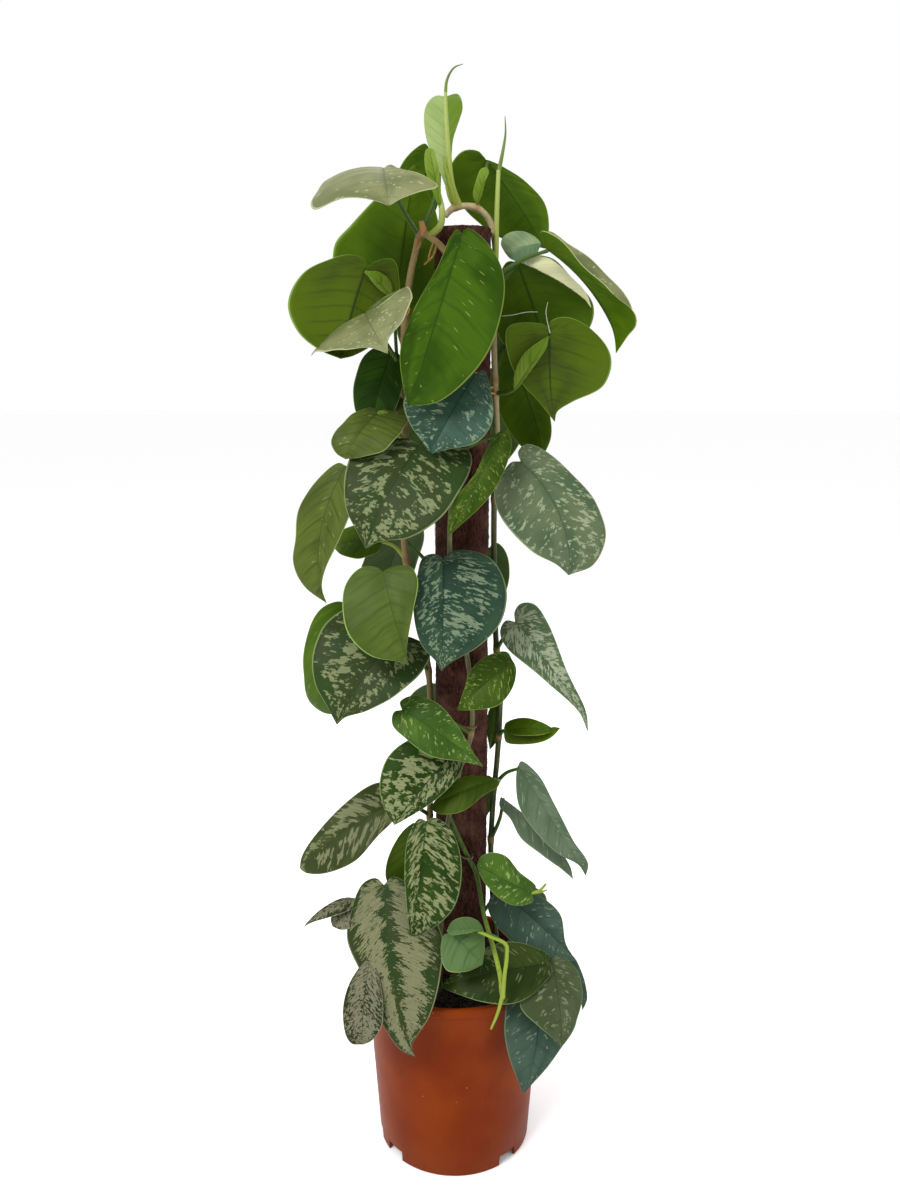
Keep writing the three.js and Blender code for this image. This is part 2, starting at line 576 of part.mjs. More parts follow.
// The pole is a roll of coir whose last edge stands proud along one seam.
function pole() {
  const outline = new THREE.Shape(Array.from({ length: POLE.facets + 1 }, (_, step) => {
    const share = step / POLE.facets;
    const radius = POLE.diameter / 2 - POLE.seamStep * share ** 2;
    const turn = (POLE.seamAngle - 90 + 360 * share) * DEGREE;
    return new THREE.Vector2(radius * Math.cos(turn), radius * Math.sin(turn));
  }));
  const bottom = POT.wall + FIT;
  const roll = new THREE.ExtrudeGeometry(outline, { depth: POLE.top - bottom, bevelEnabled: false });
  roll.translate(POLE.offset, 0, bottom);
  return solidOf(roll);
}

// A bent wire pins a stem to the pole: a leg in the pole, a run round the pole's skin, a loop
// over the stem and a second leg. Its turns are worked out from the stem it holds.
function pinPath({ height, stemX, stemForward, legX }) {
  const level = (x, forward) => new THREE.Vector3(x, -forward, height);
  const skin = (x) => Math.sqrt((POLE.diameter / 2) ** 2 - (x - POLE.offset) ** 2);
  const loop = PIN.stemRadius + PIN.radius + PIN.play;
  const farX = stemX + loop;
  const overStem = [150, 115, 80, 45, 15].map((degrees) => level(
    stemX + loop * Math.cos(degrees * DEGREE), stemForward + loop * Math.sin(degrees * DEGREE)));
  const besidePole = [legX + PIN.radius, (legX + stemX - loop) / 2].map((x) => (
    level(x, skin(x) + PIN.radius + PIN.play)));
  const leg = (x) => [PIN.depth, PIN.lead, 0].map((depth) => level(x, skin(x) - depth));
  return [...leg(legX), ...besidePole, ...overStem, ...leg(farX).reverse()];
}

function pin(place) {
  const path = new THREE.CatmullRomCurve3(pinPath(place), false, 'centripetal');
  return sweep(path, () => PIN.radius, PIN.sides, PIN.steps);
}

function drilledPole() {
  let solid = pole();
  for (const place of Object.values(PINNED)) {
    const route = pinPath(place);
    for (const end of [route[0], route.at(-1)]) {
      const length = PIN.depth * 2;
      const bore = new THREE.CylinderGeometry(
        PIN.radius + FIT, PIN.radius + FIT, length, STEM.boreSides);
      bore.translate(end.x, end.y + FIT - length / 2, end.z);
      solid = solid.subtract(solidOf(bore));
    }
  }
  return solid;
}

const VINES = {
  left_vine: LEFT_VINE,
  right_vine: RIGHT_VINE,
  front_vine: FRONT_VINE,
  left_low_spray: LEFT_LOW_SPRAY,
  right_low_spray: RIGHT_LOW_SPRAY,
  back_left_vine: BACK_LEFT_VINE,
  back_right_vine: BACK_RIGHT_VINE,
};
const GREENS = {
  left_vine: 0x55693f,
  right_vine: 0x47684f,
  front_vine: 0x4f6f3a,
  left_low_spray: 0x858a72,
  right_low_spray: 0x36514a,
  back_left_vine: 0x3f5c40,
  back_right_vine: 0x3f5c40,
};

const group = new THREE.Group();

function addPiece(name, solid, color, roughness) {
  const material = new THREE.MeshStandardMaterial({ color, roughness, metalness: 0 });
  const piece = new THREE.Mesh(geometryOf(solid), material);
  piece.name = name;
  group.add(piece);
}

addPiece('pot', pot(), 0x9a4420, 0.45);
addPiece('soil', soil(Object.values(VINES)), 0x1d1712, 0.95);
addPiece('pole', drilledPole(), 0x52302a, 0.95);
for (const [name, place] of Object.entries(PINNED)) addPiece(name, pin(place), 0x6b4630, 0.6);
for (const [name, spec] of Object.entries(VINES)) addPiece(name, vine(spec), GREENS[name], 0.4);

export default group;
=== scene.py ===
"""A satin pothos that climbs a coir pole, in a terracotta-coloured plastic nursery pot.

Metres, +Z up, the front of the plant towards -Y, origin in the middle of the pot's base.
"""

import logging
import math
import random
from dataclasses import dataclass, field
from enum import Enum
from typing import Callable, Iterable, Optional, Sequence

import bpy
import numpy as np
from mathutils import Euler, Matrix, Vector


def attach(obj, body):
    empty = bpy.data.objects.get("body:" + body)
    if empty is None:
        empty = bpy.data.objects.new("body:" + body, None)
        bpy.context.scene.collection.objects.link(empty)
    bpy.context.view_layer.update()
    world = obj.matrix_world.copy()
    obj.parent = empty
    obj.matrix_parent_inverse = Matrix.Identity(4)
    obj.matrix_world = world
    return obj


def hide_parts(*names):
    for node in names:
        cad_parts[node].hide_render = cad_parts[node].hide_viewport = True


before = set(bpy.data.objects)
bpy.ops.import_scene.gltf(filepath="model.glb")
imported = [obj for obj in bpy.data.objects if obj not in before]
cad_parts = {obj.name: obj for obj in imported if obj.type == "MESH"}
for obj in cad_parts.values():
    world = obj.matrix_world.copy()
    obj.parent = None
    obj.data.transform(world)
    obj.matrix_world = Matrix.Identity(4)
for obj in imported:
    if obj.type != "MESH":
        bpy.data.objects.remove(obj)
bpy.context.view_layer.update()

Material = bpy.types.Material
Piece = bpy.types.Object
Socket = bpy.types.NodeSocket
Rgb = tuple[float, float, float]
Place = tuple[float, float, float]
Scale = tuple[float, float, float]
Span = tuple[float, float]
Route = list[Vector]
Margin = Sequence[Span]

LOG = logging.getLogger("pothos")
BODY = "root"
BLADE_MAP = "blade_map"
MM = 0.001
FULL_TURN = 6.28
POLE_OFFSET = 6.3
STUDIO_GAIN = 1.75
CURVE_STEPS = 16


def rgb(code: int) -> Rgb:
    """Turns a colour as it looks in the studio's light into the pigment's linear values."""
    channels = ((code >> shift & 255) / 255 for shift in (16, 8, 0))
    linear = (c / 12.92 if c <= 0.04045 else ((c + 0.055) / 1.055) ** 2.4 for c in channels)
    return tuple(c / STUDIO_GAIN for c in linear)


# Where things are

@dataclass(frozen=True)
class Eye:
    """The point that the front of the plant is laid out from, in millimetres, degrees and pixels."""

    distance: float = 980.0
    height: float = 785.0
    aside: float = -4.7
    pitch: float = 11.85
    focal: float = 1030.0
    frame_width: float = 900.0
    frame_height: float = 1200.0

    def pitched(self) -> Span:
        """The cosine and the sine of the pitch."""
        return math.cos(math.radians(self.pitch)), math.sin(math.radians(self.pitch))

    def seen(self, pixel_x: float, pixel_y: float, forward: float) -> Vector:
        """Finds a place by its pixel and by its distance in front of the pole's axis.

        Args:
            pixel_x: Pixels from the frame's left edge.
            pixel_y: Pixels from the frame's top edge.
            forward: Millimetres in front of the pole's axis.

        Returns:
            The place in metres.
        """
        across = (pixel_x - self.frame_width / 2) / self.focal
        down = (pixel_y - self.frame_height / 2) / self.focal
        c, s = self.pitched()
        reach = (self.distance - forward) / (c - down * s)
        return Vector((
            self.aside + across * reach, -forward, self.height - (s + down * c) * reach)) * MM

    def pixels(self, places: np.ndarray) -> np.ndarray:
        """Finds where places, one a row, show in the frame."""
        c, s = self.pitched()
        aside = places[:, 0] / MM - self.aside
        ahead = places[:, 1] / MM + self.distance
        above = places[:, 2] / MM - self.height
        scale = self.focal / (ahead * c - above * s)
        return np.column_stack((self.frame_width / 2 + aside * scale,
                                self.frame_height / 2 - (ahead * s + above * c) * scale))


EYE = Eye()


def around(angle: float, radius: float, height: float) -> Vector:
    """A place beside the pole: angle 0 faces the viewer, 90 the right-hand side."""
    turn = math.radians(angle)
    return Vector((
        POLE_OFFSET + radius * math.sin(turn), -radius * math.cos(turn), height)) * MM


def seen_route(*places: Place) -> Route:
    """Places in order, named as the front view shows them."""
    return [EYE.seen(*place) for place in places]


def heading(azimuth: float, elevation: float) -> Vector:
    """The direction that a blade's upper face looks in."""
    turn, rise = math.radians(azimuth), math.radians(elevation)
    return Vector((
        math.sin(turn) * math.cos(rise), -math.cos(turn) * math.cos(rise), math.sin(rise)))


def flowing(points: Sequence[Vector], step: float) -> Route:
    """Draws a centripetal curve through points.

    Args:
        points: The places that the curve passes through.
        step: The distance between the places that come back.

    Returns:
        Evenly spaced places along the curve, both ends among them.
    """
    padded = [points[0] * 2 - points[1], *points, points[-1] * 2 - points[-2]]
    dense: Route = [points[0].copy()]
    for p0, p1, p2, p3 in zip(padded, padded[1:], padded[2:], padded[3:]):
        t1 = math.sqrt((p1 - p0).length)
        t2 = t1 + math.sqrt((p2 - p1).length)
        t3 = t2 + math.sqrt((p3 - p2).length)
        for share in np.linspace(0, 1, CURVE_STEPS + 1)[1:]:
            t = t1 + (t2 - t1) * float(share)
            a1 = p0.lerp(p1, t / t1)
            a2 = p1.lerp(p2, (t - t1) / (t2 - t1))
            a3 = p2.lerp(p3, (t - t2) / (t3 - t2))
            dense.append(a1.lerp(a2, t / t2).lerp(a2.lerp(a3, (t - t1) / (t3 - t1)),
                                                  (t - t1) / (t2 - t1)))
    gaps = [0.0] + [(b - a).length for a, b in zip(dense, dense[1:])]
    run = np.cumsum(gaps)
    count = max(4, round(run[-1] / step))
    wanted = np.linspace(0, run[-1], count + 1)
    columns = [np.interp(wanted, run, [p[axis] for p in dense]) for axis in range(3)]
    return [Vector(place) for place in zip(*columns)]


def nearest(route: Sequence[Vector], point: Vector) -> Vector:
    """The place of a route that lies nearest to a point."""
    return min(route, key=lambda place: (place - point).length).copy()


# Finishes

class Bench:
    """Lays out the nodes of one material."""

    def __init__(self, name: str) -> None:
        """Starts a material with one principled shader."""
        self.material = bpy.data.materials.new(name)
        self.material.use_nodes = True
        self.tree = self.material.node_tree
        self.shader = self.tree.nodes["Principled BSDF"]

    def put(self, target: Socket, value: object) -> None:
        """Links a socket, or sets a plain value on the target."""
        if isinstance(value, Socket):
            self.tree.links.new(value, target)
        elif isinstance(value, tuple) and target.type == "RGBA":
            target.default_value = (*value, 1.0)
        else:
            target.default_value = value

    def node(self, kind: str, **inputs: object) -> bpy.types.Node:
        """Adds a node and fills its inputs, named with underscores for spaces."""
        made = self.tree.nodes.new(kind)
        for key, value in inputs.items():
            self.put(made.inputs[key.replace("_", " ")], value)
        return made

    def math(self, operation: str, a: object, b: object = 0.0, clamp: bool = False) -> Socket:
        """Adds a two-value sum."""
        made = self.tree.nodes.new("ShaderNodeMath")
        made.operation = operation
        made.use_clamp = clamp
        self.put(made.inputs[0], a)
        self.put(made.inputs[1], b)
        return made.outputs[0]

    def times(self, a: object, b: object, clamp: bool = False) -> Socket:
        """Multiplies two values."""
        return self.math("MULTIPLY", a, b, clamp)

    def swing(self, value: object, reach: float) -> Socket:
        """Turns a value near a half into one near zero, with that reach."""
        return self.times(self.math("SUBTRACT", value, 0.5), reach)

    def mix(self, share: object, first: object, second: object) -> Socket:
        """Mixes two colours."""
        made = self.tree.nodes.new("ShaderNodeMix")
        made.data_type = "RGBA"
        self.put(made.inputs[0], share)
        self.put(made.inputs[6], first)
        self.put(made.inputs[7], second)
        return made.outputs[2]

    def layer(self, under: object, tint: int, share: object, strength: float = 1.0) -> Socket:
        """Lays a tint over a colour where share is high."""
        return self.mix(self.times(share, strength), under, rgb(tint))

    def rise(self, value: object, low: object, high: object, start: float = 0.0,
             end: float = 1.0) -> Socket:
        """Goes smoothly from start to end as value goes from low to high."""
        made = self.tree.nodes.new("ShaderNodeMapRange")
        made.interpolation_type = "SMOOTHSTEP"
        for socket, given in zip(made.inputs, (value, low, high, start, end)):
            self.put(socket, given)
        return made.outputs[0]

    def stretched(self, vector: object, scale: Scale) -> Socket:
        """Scales a pattern's coordinates by axis."""
        made = self.tree.nodes.new("ShaderNodeMapping")
        self.put(made.inputs["Vector"], vector)
        made.inputs["Scale"].default_value = scale
        return made.outputs[0]

    def noise(self, vector: object, scale: float, detail: float = 2.0, roughness: float = 0.5,
              distortion: float = 0.0) -> Socket:
        """A cloudy value near a half."""
        made = self.node("ShaderNodeTexNoise", Vector=vector, Scale=scale, Detail=detail,
                         Roughness=roughness, Distortion=distortion)
        return made.outputs[0]

    def cells(self, vector: object, scale: float = 1.0) -> tuple[Socket, Socket]:
        """Distance to the nearest cell centre, and that cell's own random value."""
        made = self.node("ShaderNodeTexVoronoi", Vector=vector, Scale=scale)
        parts = self.node("ShaderNodeSeparateColor", Color=made.outputs["Color"])
        return made.outputs["Distance"], parts.outputs[0]

    def attribute(self, name: str, output: str) -> Socket:
        """Reads one of the mesh's own attributes."""
        made = self.tree.nodes.new("ShaderNodeAttribute")
        made.attribute_name = name
        return made.outputs[output]

    def object_place(self) -> Socket:
        """The piece's own coordinates."""
        return self.tree.nodes.new("ShaderNodeTexCoord").outputs["Object"]

    def bump(self, height: object, strength: float, depth: float, under: Optional[Socket] = None
             ) -> Socket:
        """Turns a height into a normal, on top of another where given; depth is in millimetres."""
        made = self.node("ShaderNodeBump", Height=height, Strength=strength, Distance=depth * MM)
        if under is not None:
            self.put(made.inputs["Normal"], under)
        return made.outputs[0]

    def finish(self, colour: object, roughness: object, normal: object,
               gloss: Optional[float] = None) -> Material:
        """Feeds the shader and hands the material over.

        Args:
            colour: The base colour, a value or a socket.
            roughness: The roughness, a value or a socket.
            normal: The bumped normal.
            gloss: How strongly it mirrors, or None for the shader's own.

        Returns:
            The finished material.
        """
        self.put(self.shader.inputs["Base Color"], colour)
        self.put(self.shader.inputs["Roughness"], roughness)
        self.put(self.shader.inputs["Normal"], normal)
        if gloss is not None:
            self.put(self.shader.inputs["Specular IOR Level"], gloss)
        return self.material


class BladeBench(Bench):
    """A bench with a blade's own coordinates, and what both faces of a blade have."""

    drift_band = (0.35, 0.65)
    wobble_scale = 60.0
    streak_band = (0.45, 0.7)
    margin_band = (0.968, 0.985)
    grain_bump = (0.12, 0.2)

    def __init__(self, name: str) -> None:
        """Reads the vein_run attribute and the blade's UV map."""
        super().__init__(name)
        self.run = self.attribute("vein_run", "Vector")
        uv = self.node("ShaderNodeUVMap")
        uv.uv_map = BLADE_MAP
        parts = self.node("ShaderNodeSeparateXYZ", Vector=uv.outputs[0])
        self.along, self.across = parts.outputs[0], parts.outputs[1]
        from_rib = self.math("ABSOLUTE", self.math("SUBTRACT", self.across, 0.5))
        self.share = self.times(from_rib, 2.0)

    def part_halves(self, gap: float) -> None:
        """Moves the right half's coordinates away, so that no half mirrors the other."""
        side = self.math("GREATER_THAN", self.across, 0.5)
        apart = self.node("ShaderNodeCombineXYZ", Z=self.times(side, gap))
        moved = self.node("ShaderNodeVectorMath", Vector=self.run)
        self.put(moved.inputs[1], apart.outputs[0])
        self.run = moved.outputs[0]

    def drifting(self, ground: int, shade: int, scale: float) -> Socket:
        """Drifts from one green to another."""
        drift = self.rise(self.noise(self.run, scale), *self.drift_band)
        return self.mix(drift, rgb(ground), rgb(shade))

    def streaks(self, scale: Scale) -> Socket:
        """Fine streaks out from the midrib."""
        return self.noise(self.stretched(self.run, scale), 1.0)

    def side_veins(self, count: float, wander: float, start: float, fade: float
                   ) -> tuple[Socket, Socket]:
        """Draws the side veins.

        Args:
            count: How many there are on each half.
            wander: How much they wander.
            start: Where a vein starts on the way from the swell's foot to its crest.
            fade: The share of the half width from which they fade out.

        Returns:
            The swell that each vein lies on, and how strongly the veins show.
        """
        wobble = self.noise(self.run, self.wobble_scale, 1.0)
        beat = self.math("ADD", self.times(self.along, count * 2), self.times(wobble, wander))
        swell = self.math("PINGPONG", beat, 1.0)
        return swell, self.times(self.rise(swell, start, 1.0), self.rise(self.share, 1.0, fade))

    def edged(self, colour: Socket, margin: int) -> Socket:
        """Adds the thin pale margin."""
        return self.mix(self.rise(self.share, *self.margin_band), colour, rgb(margin))

    def relief(self, swell: Socket, grain_scale: float, strength: float, depth: float) -> Socket:
        """Raises the side veins over a fine grain."""
        skin = self.bump(self.noise(self.run, grain_scale, 1.0), *self.grain_bump)
        return self.bump(self.times(swell, self.share), strength, depth, skin)


@dataclass(frozen=True)
class BladeFinish:
    """The upper face of a blade: its green, its silver splashes, its rib and its margin.

    Cover says how densely the splashes lie by the rib, half way out and by the margin. Patch and
    fleck_size are the width along the rib and the length out from it, in millimetres.
    """

    name: str
    ground: int
    shade: int
    silver: int = 0xA3A878
    rib: int = 0x38521F
    margin: int = 0xB9C08A
    cover: tuple[float, float, float] = (-0.6, -0.6, -0.6)
    patch: Span = (3.2, 11.0)
    ragged: float = 0.5
    tiling: float = 0.28
    clustering: float = 1.2
    flecks: float = 0.0
    fleck_size: Span = (1.7, 5.0)
    rib_width: float = 0.03
    veining: float = 0.25
    veins: float = 9.0
    roughness: float = 0.42
    gloss: float = 0.05
    left_tint: int = 0
    left_share: float = 0.0
    left_band: Span = (0.51, 0.47)
    half_gap: float = 3.7
    drift_scale: float = 28.0
    cluster_scale: float = 55.0
    grain_scale: float = 2600.0
    streak_scale: Scale = (900.0, 45.0, 1.0)
    streak_share: float = 0.8
    vein_line: tuple[float, float, float] = (0.5, 0.72, 0.55)
    rib_band: Span = (0.02, 0.3)
    edge_band: Span = (0.55, 0.98)
    blotch_pitch: Span = (1000.0, 1000.0)
    tooth_pitch: Span = (2600.0, 2100.0)
    tile_pitch: Span = (1250.0, 1500.0)
    fleck_pitch: Span = (500.0, 500.0)
    fleck_band: Span = (0.34, 0.26)
    threshold: float = 0.735
    cover_gain: float = 0.44
    crispness: float = 34.0
    silver_band: Span = (0.3, 0.7)
    silver_dip: float = 0.78
    silver_share: float = 0.93
    silver_rough: float = 0.06
    rib_share: float = 0.75
    relief: Span = (0.35, 0.5)

    def fitted(self, bench: BladeBench, pitch: Span, size: Span) -> Socket:
        """Stretches a pattern along the side veins, so that its features have that size."""
        return bench.stretched(bench.run, (pitch[0] / size[0], pitch[1] / size[1], 1.0))

    def covering(self, bench: BladeBench) -> Socket:
        """How densely splashes lie at each place, in loose clusters."""
        low, middle, edge = self.cover
        cover = bench.math("ADD", bench.rise(bench.share, *self.rib_band, low, middle),
                           bench.rise(bench.share, *self.edge_band, 0.0, edge - middle))
        cluster = bench.noise(bench.run, self.cluster_scale, 1.0)
        return bench.math("ADD", cover, bench.swing(cluster, self.clustering))

    def splashes(self, bench: BladeBench) -> Socket:
        """Where the face is silver: angular splashes with ragged ends, and small flecks."""
        blotch = bench.noise(self.fitted(bench, self.blotch_pitch, self.patch), 0.8, 2.0, 0.55)
        teeth = bench.noise(self.fitted(bench, self.tooth_pitch, self.patch), 1.0, 2.0, 0.6)
        teeth = bench.swing(teeth, self.ragged)
        _, tile = bench.cells(self.fitted(bench, self.tile_pitch, self.patch))
        patch = bench.math("ADD", bench.math("ADD", blotch, teeth), bench.swing(tile, self.tiling))
        aim = bench.math("SUBTRACT", self.threshold,
                         bench.times(self.covering(bench), self.cover_gain))
        splash = bench.times(bench.math("SUBTRACT", patch, aim), self.crispness, clamp=True)
        near, pick = bench.cells(self.fitted(bench, self.fleck_pitch, self.fleck_size))
        near = bench.math("ADD", near, bench.times(teeth, 0.9))
        fleck = bench.times(bench.rise(near, *self.fleck_band),
                            bench.math("LESS_THAN", pick, self.flecks))
        return bench.math("MAXIMUM", splash, fleck)

    def dress(self) -> Material:
        """Builds the material, on the blade's UV map and its vein_run attribute."""
        bench = BladeBench(self.name)
        bench.part_halves(self.half_gap)
        colour = bench.drifting(self.ground, self.shade, self.drift_scale)
        # A tint on one half of the blade. The one look that uses it has a painted sheen for its ground,
        # and this tint is the green of the half outside that sheen.
        colour = bench.layer(colour, self.left_tint, bench.rise(bench.across, *self.left_band),
                             self.left_share)
        streak = bench.streaks(self.streak_scale)
        swell, vein = bench.side_veins(self.veins, *self.vein_line)
        colour = bench.layer(colour, self.rib, bench.rise(streak, *bench.streak_band),
                             self.veining * self.streak_share)
        colour = bench.layer(colour, self.rib, vein, self.veining)
        pale = self.splashes(bench)
        silver = rgb(self.silver)
        tint = bench.mix(bench.rise(streak, *self.silver_band), silver,
                         tuple(c * self.silver_dip for c in silver))
        colour = bench.mix(bench.times(pale, self.silver_share), colour, tint)
        line = bench.rise(bench.share, self.rib_width, self.rib_width * 0.3)
        colour = bench.edged(bench.layer(colour, self.rib, line, self.rib_share), self.margin)
        rough = bench.math("ADD", bench.times(pale, self.silver_rough), self.roughness)
        normal = bench.relief(swell, self.grain_scale, *self.relief)
        return bench.finish(colour, rough, normal, self.gloss)


@dataclass(frozen=True)
class UndersideFinish:
    """The plain under face of a blade, with its midrib and side veins standing out."""

    name: str
    ground: int
    shade: int
    rib: int
    margin: int = 0xA9B86A
    veining: float = 0.28
    veins: float = 12.0
    roughness: float = 0.5
    gloss: float = 0.06
    drift_scale: float = 22.0
    grain_scale: float = 2200.0
    streak_scale: Scale = (700.0, 40.0, 1.0)
    vein_line: tuple[float, float, float] = (0.6, 0.7, 0.6)
    edge_shade: tuple[float, float, float, float] = (0.4, 0.95, 0.0, 0.6)
    rib_band: Span = (0.035, 0.012)
    relief: Span = (0.45, 0.6)

    def dress(self) -> Material:
        """Builds the material, on the blade's UV map and its vein_run attribute."""
        bench = BladeBench(self.name)
        colour = bench.drifting(self.ground, self.shade, self.drift_scale)
        swell, vein = bench.side_veins(self.veins, *self.vein_line)
        streak = bench.rise(bench.streaks(self.streak_scale), *bench.streak_band)
        colour = bench.layer(colour, self.shade, streak, self.veining)
        colour = bench.layer(colour, self.rib, vein, self.veining)
        colour = bench.layer(colour, self.shade, bench.rise(bench.share, *self.edge_shade))
        # The dark line along the midrib: partly the rib's own darker green, partly painted shade along
        # the raised rib.
        colour = bench.layer(colour, self.rib, bench.rise(bench.share, *self.rib_band))
        normal = bench.relief(swell, self.grain_scale, *self.relief)
        return bench.finish(bench.edged(colour, self.margin), self.roughness, normal, self.gloss)


class Look(Enum):
    """What the upper face of a blade looks like."""

    # Pale grey-green: partly the leaf's own colour, partly a painted reflection of the bright
    # surroundings at a grazing angle.
    PALE = BladeFinish("blade_pale", 0x70784A, 0x8C905E, 0xAEB48A, 0x626A3C, 0xC3CB94, flecks=0.3,
        fleck_size=(1.6, 3.6), veining=0.3, roughness=0.5, gloss=0.2)
    GREEN = BladeFinish("blade_green", 0x304E06, 0x466810, 0x7E963C, 0x2A440A, 0x86A040, flecks=0.09,
        fleck_size=(1.0, 4.2), veining=0.35, roughness=0.38)
    FOREST = BladeFinish("blade_forest", 0x28460C, 0x385C16, 0x6E8458, 0x1A3008, 0x7C9450, flecks=0.02,
        veining=0.4)
    OLIVE = BladeFinish("blade_olive", 0x4E5C26, 0x60702C, 0x8C9862, 0x3F4C1C, 0xA0B070, flecks=0.07,
        fleck_size=(0.9, 3.6), veining=0.6)
    LIME = BladeFinish("blade_lime", 0x4A5E24, 0x5A6E2C, 0x86985A, 0x3C501E, 0x9FBC62, veining=0.5)
    SHEATH = BladeFinish("blade_sheath", 0x6A8A22, 0x849E3C, 0x9DBB6A, 0x4A640E, 0xA8BC5C, veining=0.5,
        veins=2.0, rib_width=0.12)
    # Near-white cream: a painted highlight where strong light falls on the top of a curled lobe.
    GLOW = BladeFinish("blade_painted_highlight", 0xFFFFCC, 0xF4F4B8, 0xFFFFD8, 0xB4B478, 0xE8E8C0, veining=0.15,
        roughness=0.55)
    JADE = BladeFinish("blade_jade", 0xB0C690, 0x6E8C68, 0xC4D4A8, 0x6A8460, 0xB0C090, veining=0.3,
        roughness=0.5)
    MOSSY = BladeFinish("blade_mossy", 0x344A0A, 0x465C10, 0x6E8A3A, 0x2A4008, 0x809840, veining=0.4)
    FRESH = BladeFinish("blade_fresh", 0x42600A, 0x567210, 0x849C44, 0x34500A, 0x94B04C, flecks=0.05,
        fleck_size=(1.0, 3.2), veining=0.4)
    # Pale ground: a painted sheen over one half of the young top blade; the tinted half keeps its own
    # green.
    HALF_PAINTED_SHEEN = BladeFinish("blade_half_painted_sheen", 0xA8BC78, 0x98B068, 0xC0D098, 0x6E8A3C, 0x9DBB5E,
        veining=0.3, left_tint=0x64821E, left_share=0.95)
    SPLASHED = BladeFinish("blade_splashed", 0x3A4624, 0x334A22, 0x8E986A, 0x2A3A18, 0x869864,
        cover=(0.1, 0.44, 0.1), patch=(2.9, 10.5), ragged=0.62, flecks=0.08, fleck_size=(2.0, 4.6))
    TEAL = BladeFinish("blade_teal", 0x2A4434, 0x3C5640, 0x86997A, 0x1E3428, 0x7E9468,
        cover=(0.25, 0.42, -0.05), patch=(2.2, 8.5), ragged=0.6, flecks=0.1, fleck_size=(1.6, 4.0),
        roughness=0.45)
    BLUISH = BladeFinish("blade_bluish", 0x324E3E, 0x486656, 0x8A9E80, 0x223C30, 0x7E9468,
        cover=(-0.2, 0.16, 0.3), patch=(2.6, 9.0), ragged=0.55, flecks=0.1, fleck_size=(1.8, 5.0),
        roughness=0.45)
    DUSTY = BladeFinish("blade_dusty", 0x52684A, 0x6C7C5A, 0xAAB692, 0x4A5C40, 0x9CAC7C,
        cover=(0.0, 0.32, 0.16), patch=(2.8, 8.0), ragged=0.55, flecks=0.14, fleck_size=(2.0, 4.4),
        roughness=0.46)
    GREY_TEAL = BladeFinish("blade_grey_teal", 0x586E52, 0x6E8066, 0x96A584, 0x4A5E46, 0x90A27A,
        cover=(-0.3, -0.05, -0.1), patch=(2.8, 8.0), flecks=0.25, fleck_size=(1.5, 4.0), veining=0.4,
        roughness=0.46)
    SILVERED = BladeFinish("blade_silvered", 0x5E7450, 0x54684A, 0xB0BC9A, 0x5A6C4C, 0xA6B68E,
        cover=(0.45, 0.62, 0.2), patch=(2.6, 8.0), ragged=0.6, flecks=0.2, roughness=0.46)
    FLECKED = BladeFinish("blade_flecked", 0x3E5E20, 0x547628, 0x98AE6A, 0x2E4A14, 0x90AC5C,
        cover=(-0.25, 0.12, -0.05), patch=(2.2, 6.5), ragged=0.55, flecks=0.16, fleck_size=(1.5, 3.6))
    SPOTTED = BladeFinish("blade_spotted", 0x304A0A, 0x48601A, 0x869A48, 0x28400A, 0x86A03E,
        cover=(-0.1, 0.2, 0.1), patch=(1.9, 6.0), ragged=0.55, flecks=0.12, fleck_size=(1.2, 3.8))
    BOLD = BladeFinish("blade_bold", 0x22380C, 0x324C16, 0x98A070, 0x203410, 0x86A062,
        cover=(0.42, 0.6, 0.2), patch=(3.2, 7.5), ragged=0.65, flecks=0.06)
    STREAKED = BladeFinish("blade_streaked", 0x3C4824, 0x4A562C, 0x8C9068, 0x303C1A, 0x869064,
        cover=(0.25, 0.55, 0.3), patch=(4.4, 12.0), ragged=0.5, tiling=0.2)
    SILVER = BladeFinish("blade_silver", 0x3A4622, 0x2E4420, 0x90916C, 0x30441E, 0x9AA06E,
        cover=(0.12, 0.94, 0.05), patch=(3.4, 13.0), ragged=1.2, tiling=0.1, clustering=1.2,
        rib_width=0.03, roughness=0.48)
    PEPPER = BladeFinish("blade_pepper", 0x30361E, 0x2C3A1C, 0x8E8C70, 0x353F2E, 0xA8A888,
        cover=(0.7, 0.85, 0.3), patch=(2.0, 4.0), ragged=0.8, tiling=0.4, roughness=0.5)
    DEEP = BladeFinish("blade_deep", 0x2A3C12, 0x3C4C1A, 0x6E7C50, 0x1C2E0C, 0x7E965C,
        cover=(-0.2, 0.1, 0.2), patch=(3.4, 11.0), flecks=0.06)
    DUSK = BladeFinish("blade_dusk", 0x3A5244, 0x4E6454, 0x82927A, 0x22382E, 0x708464,
        cover=(-0.4, -0.05, -0.1), patch=(2.8, 8.0), flecks=0.2, fleck_size=(1.4, 4.0), roughness=0.44)
    MOSS = BladeFinish("blade_moss", 0x485636, 0x566244, 0x86906A, 0x38462A, 0x80925E,
        cover=(-0.2, 0.2, 0.0), patch=(3.0, 8.0), flecks=0.12)
    MINT = BladeFinish("blade_mint", 0x506C38, 0x62804C, 0xA0BA90, 0x486236, 0xA6B874, veining=0.6,
        veins=6.0, roughness=0.46)


class Underside(Enum):
    """What the under face of a blade looks like."""

    LIT = UndersideFinish("underside_lit", 0x42620C, 0x5A7A10, 0x36520A, 0x7FA03C)
    VEINED = UndersideFinish("underside_veined", 0x42541C, 0x587010, 0x36461A, 0x86A848, veining=0.45)
    SHADED = UndersideFinish("underside_shaded", 0x46602C, 0x506C34, 0x38502A)


